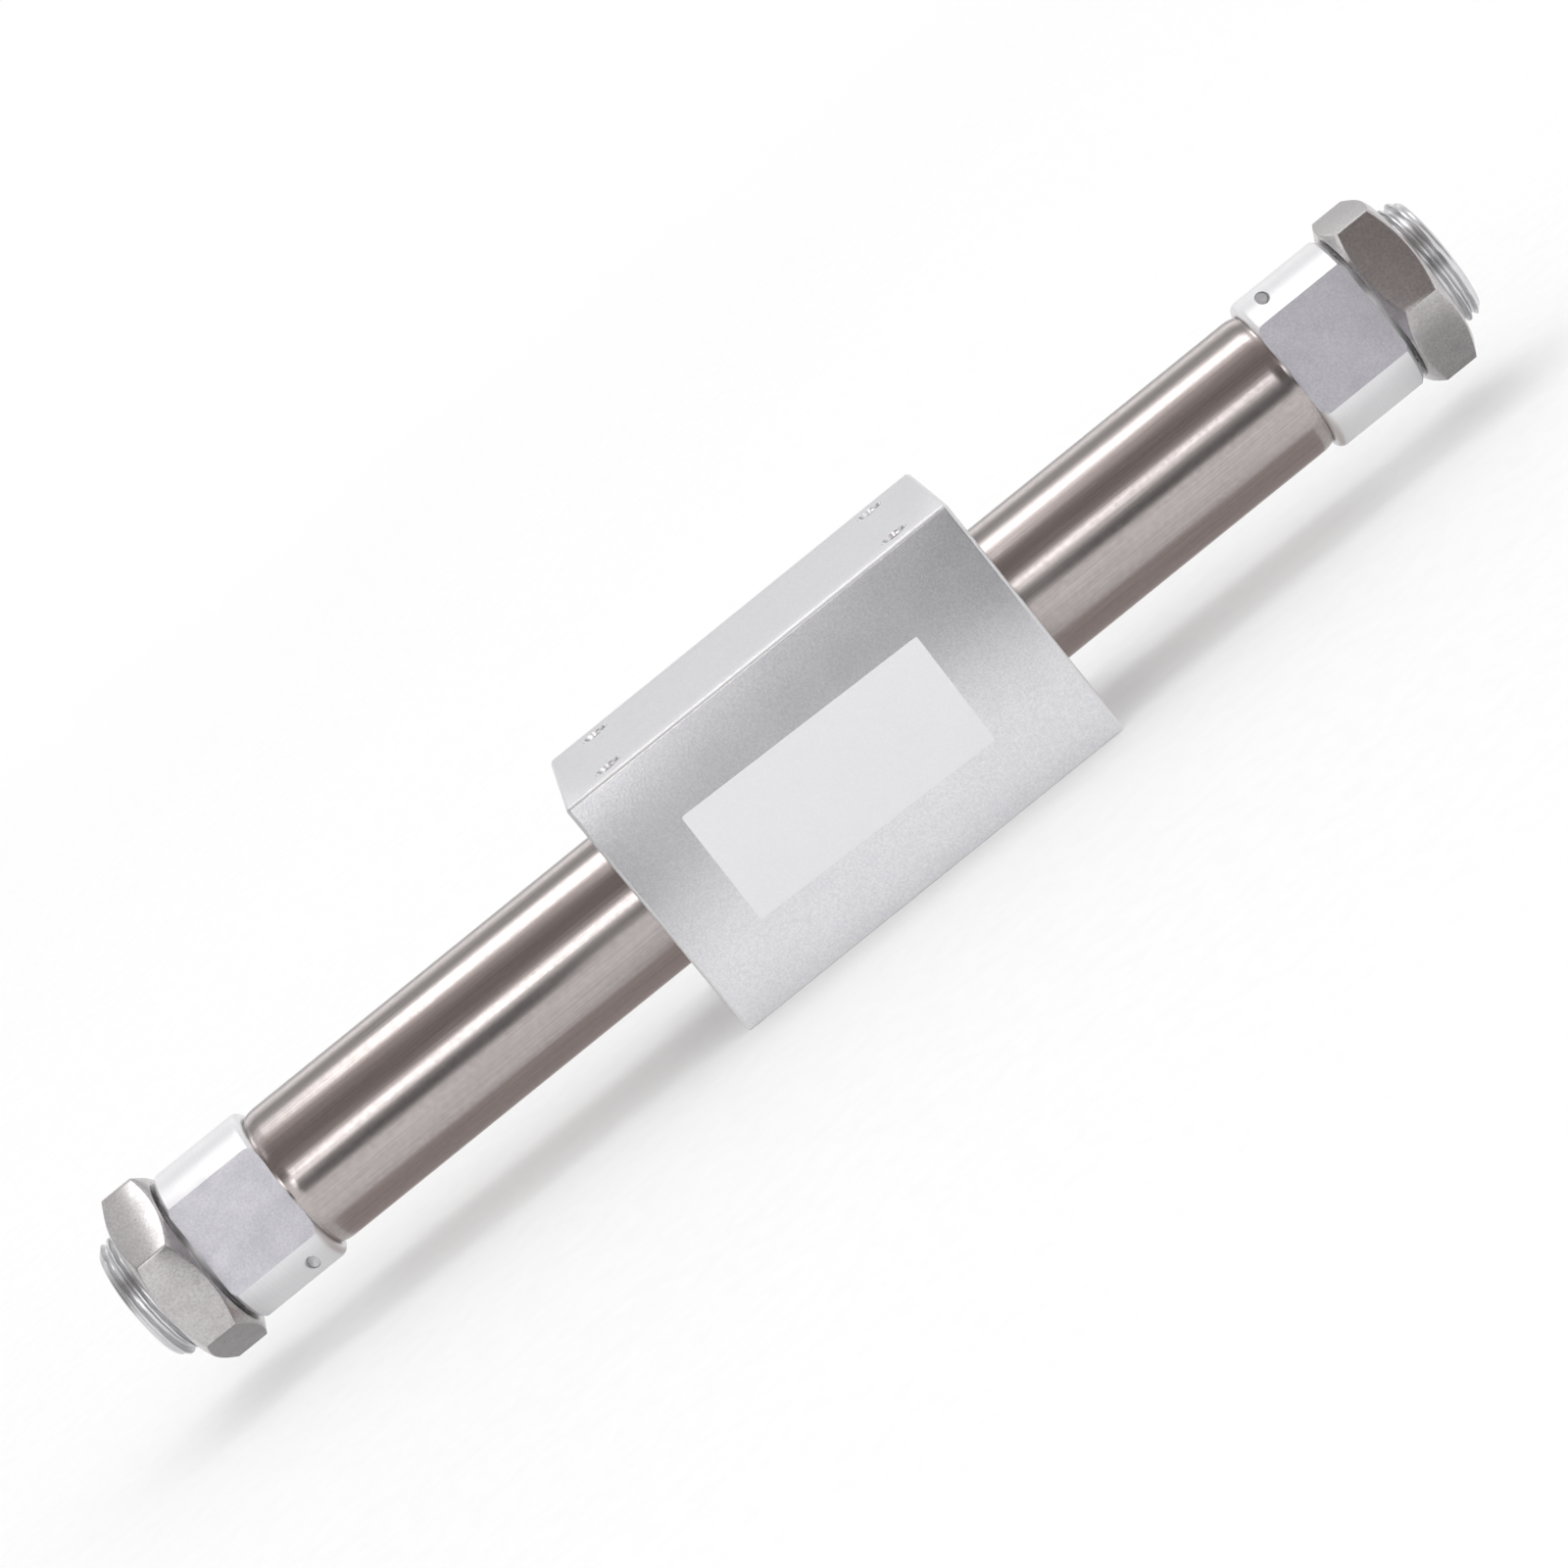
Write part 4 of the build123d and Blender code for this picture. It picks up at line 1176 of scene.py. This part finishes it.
    def camera(self):
        """The photograph's view: from the front and above, rolled so that the axis climbs to the right."""
        yaw, lift, roll = radians(-1.53), radians(11.07), radians(-39.253)
        target, distance = Vector((-0.55 * MM, 0, -0.076 * MM)), 684.3 * MM
        forward = Vector((sin(yaw) * cos(lift), cos(yaw) * cos(lift), -sin(lift)))
        level = Vector((cos(yaw), -sin(yaw), 0))
        upright = level.cross(forward)
        right = level * cos(roll) + upright * sin(roll)
        up = upright * cos(roll) - level * sin(roll)
        lens = bpy.data.cameras.new("camera")
        lens.sensor_width, lens.lens = 36, 112.5
        lens.clip_start, lens.clip_end = 0.01, 200
        camera = bpy.data.objects.new("camera", lens)
        COLLECTION.objects.link(camera)
        spot = Matrix.Translation(target - forward * distance)
        camera.matrix_world = spot @ Matrix((right, up, -forward)).transposed().to_4x4()
        bpy.context.scene.camera = camera
        bpy.context.scene.view_settings.view_transform = "Standard"


class CylinderPanel(bpy.types.Panel):
    """Lists the pieces and their sizes"""

    bl_idname = "VIEW3D_PT_air_cylinder"
    bl_label = "Rodless air cylinder"
    bl_space_type = "VIEW_3D"
    bl_region_type = "UI"
    bl_category = "Cylinder"

    def draw(self, context):
        for operator in OPERATORS:
            self.layout.operator(operator.bl_idname, text=operator.bl_label)
        for name in ("tube", "head", "nut", "slider", "label", "finish"):
            group = getattr(settings(), name)
            box = self.layout.box()
            box.label(text=name.capitalize())
            for key in group.__annotations__:
                box.prop(group, key)


OPERATORS = (
    BuildTube,
    BuildHeadCovers,
    BuildPlugs,
    BuildNuts,
    BuildSliderBlock,
    BuildSliderEnds,
    BuildLabel,
    FinishHiddenPieces,
    BuildStage,
)
GROUPS = (TubeSizes, HeadSizes, NutSizes, SliderSizes, LabelSizes, FinishColours, CylinderSettings)


def register():
    """Adds the classes and the settings to Blender."""
    for item in GROUPS + OPERATORS + (CylinderPanel,):
        bpy.utils.register_class(item)
    bpy.types.Scene.air_cylinder = PointerProperty(type=CylinderSettings)


def unregister():
    """Takes them out again."""
    del bpy.types.Scene.air_cylinder
    for item in reversed(GROUPS + OPERATORS + (CylinderPanel,)):
        bpy.utils.unregister_class(item)


def main():
    """Builds everything."""
    register()
    for operator in OPERATORS:
        family, name = operator.bl_idname.split(".")
        getattr(getattr(bpy.ops, family), name)()


if __name__ == "__main__":
    main()
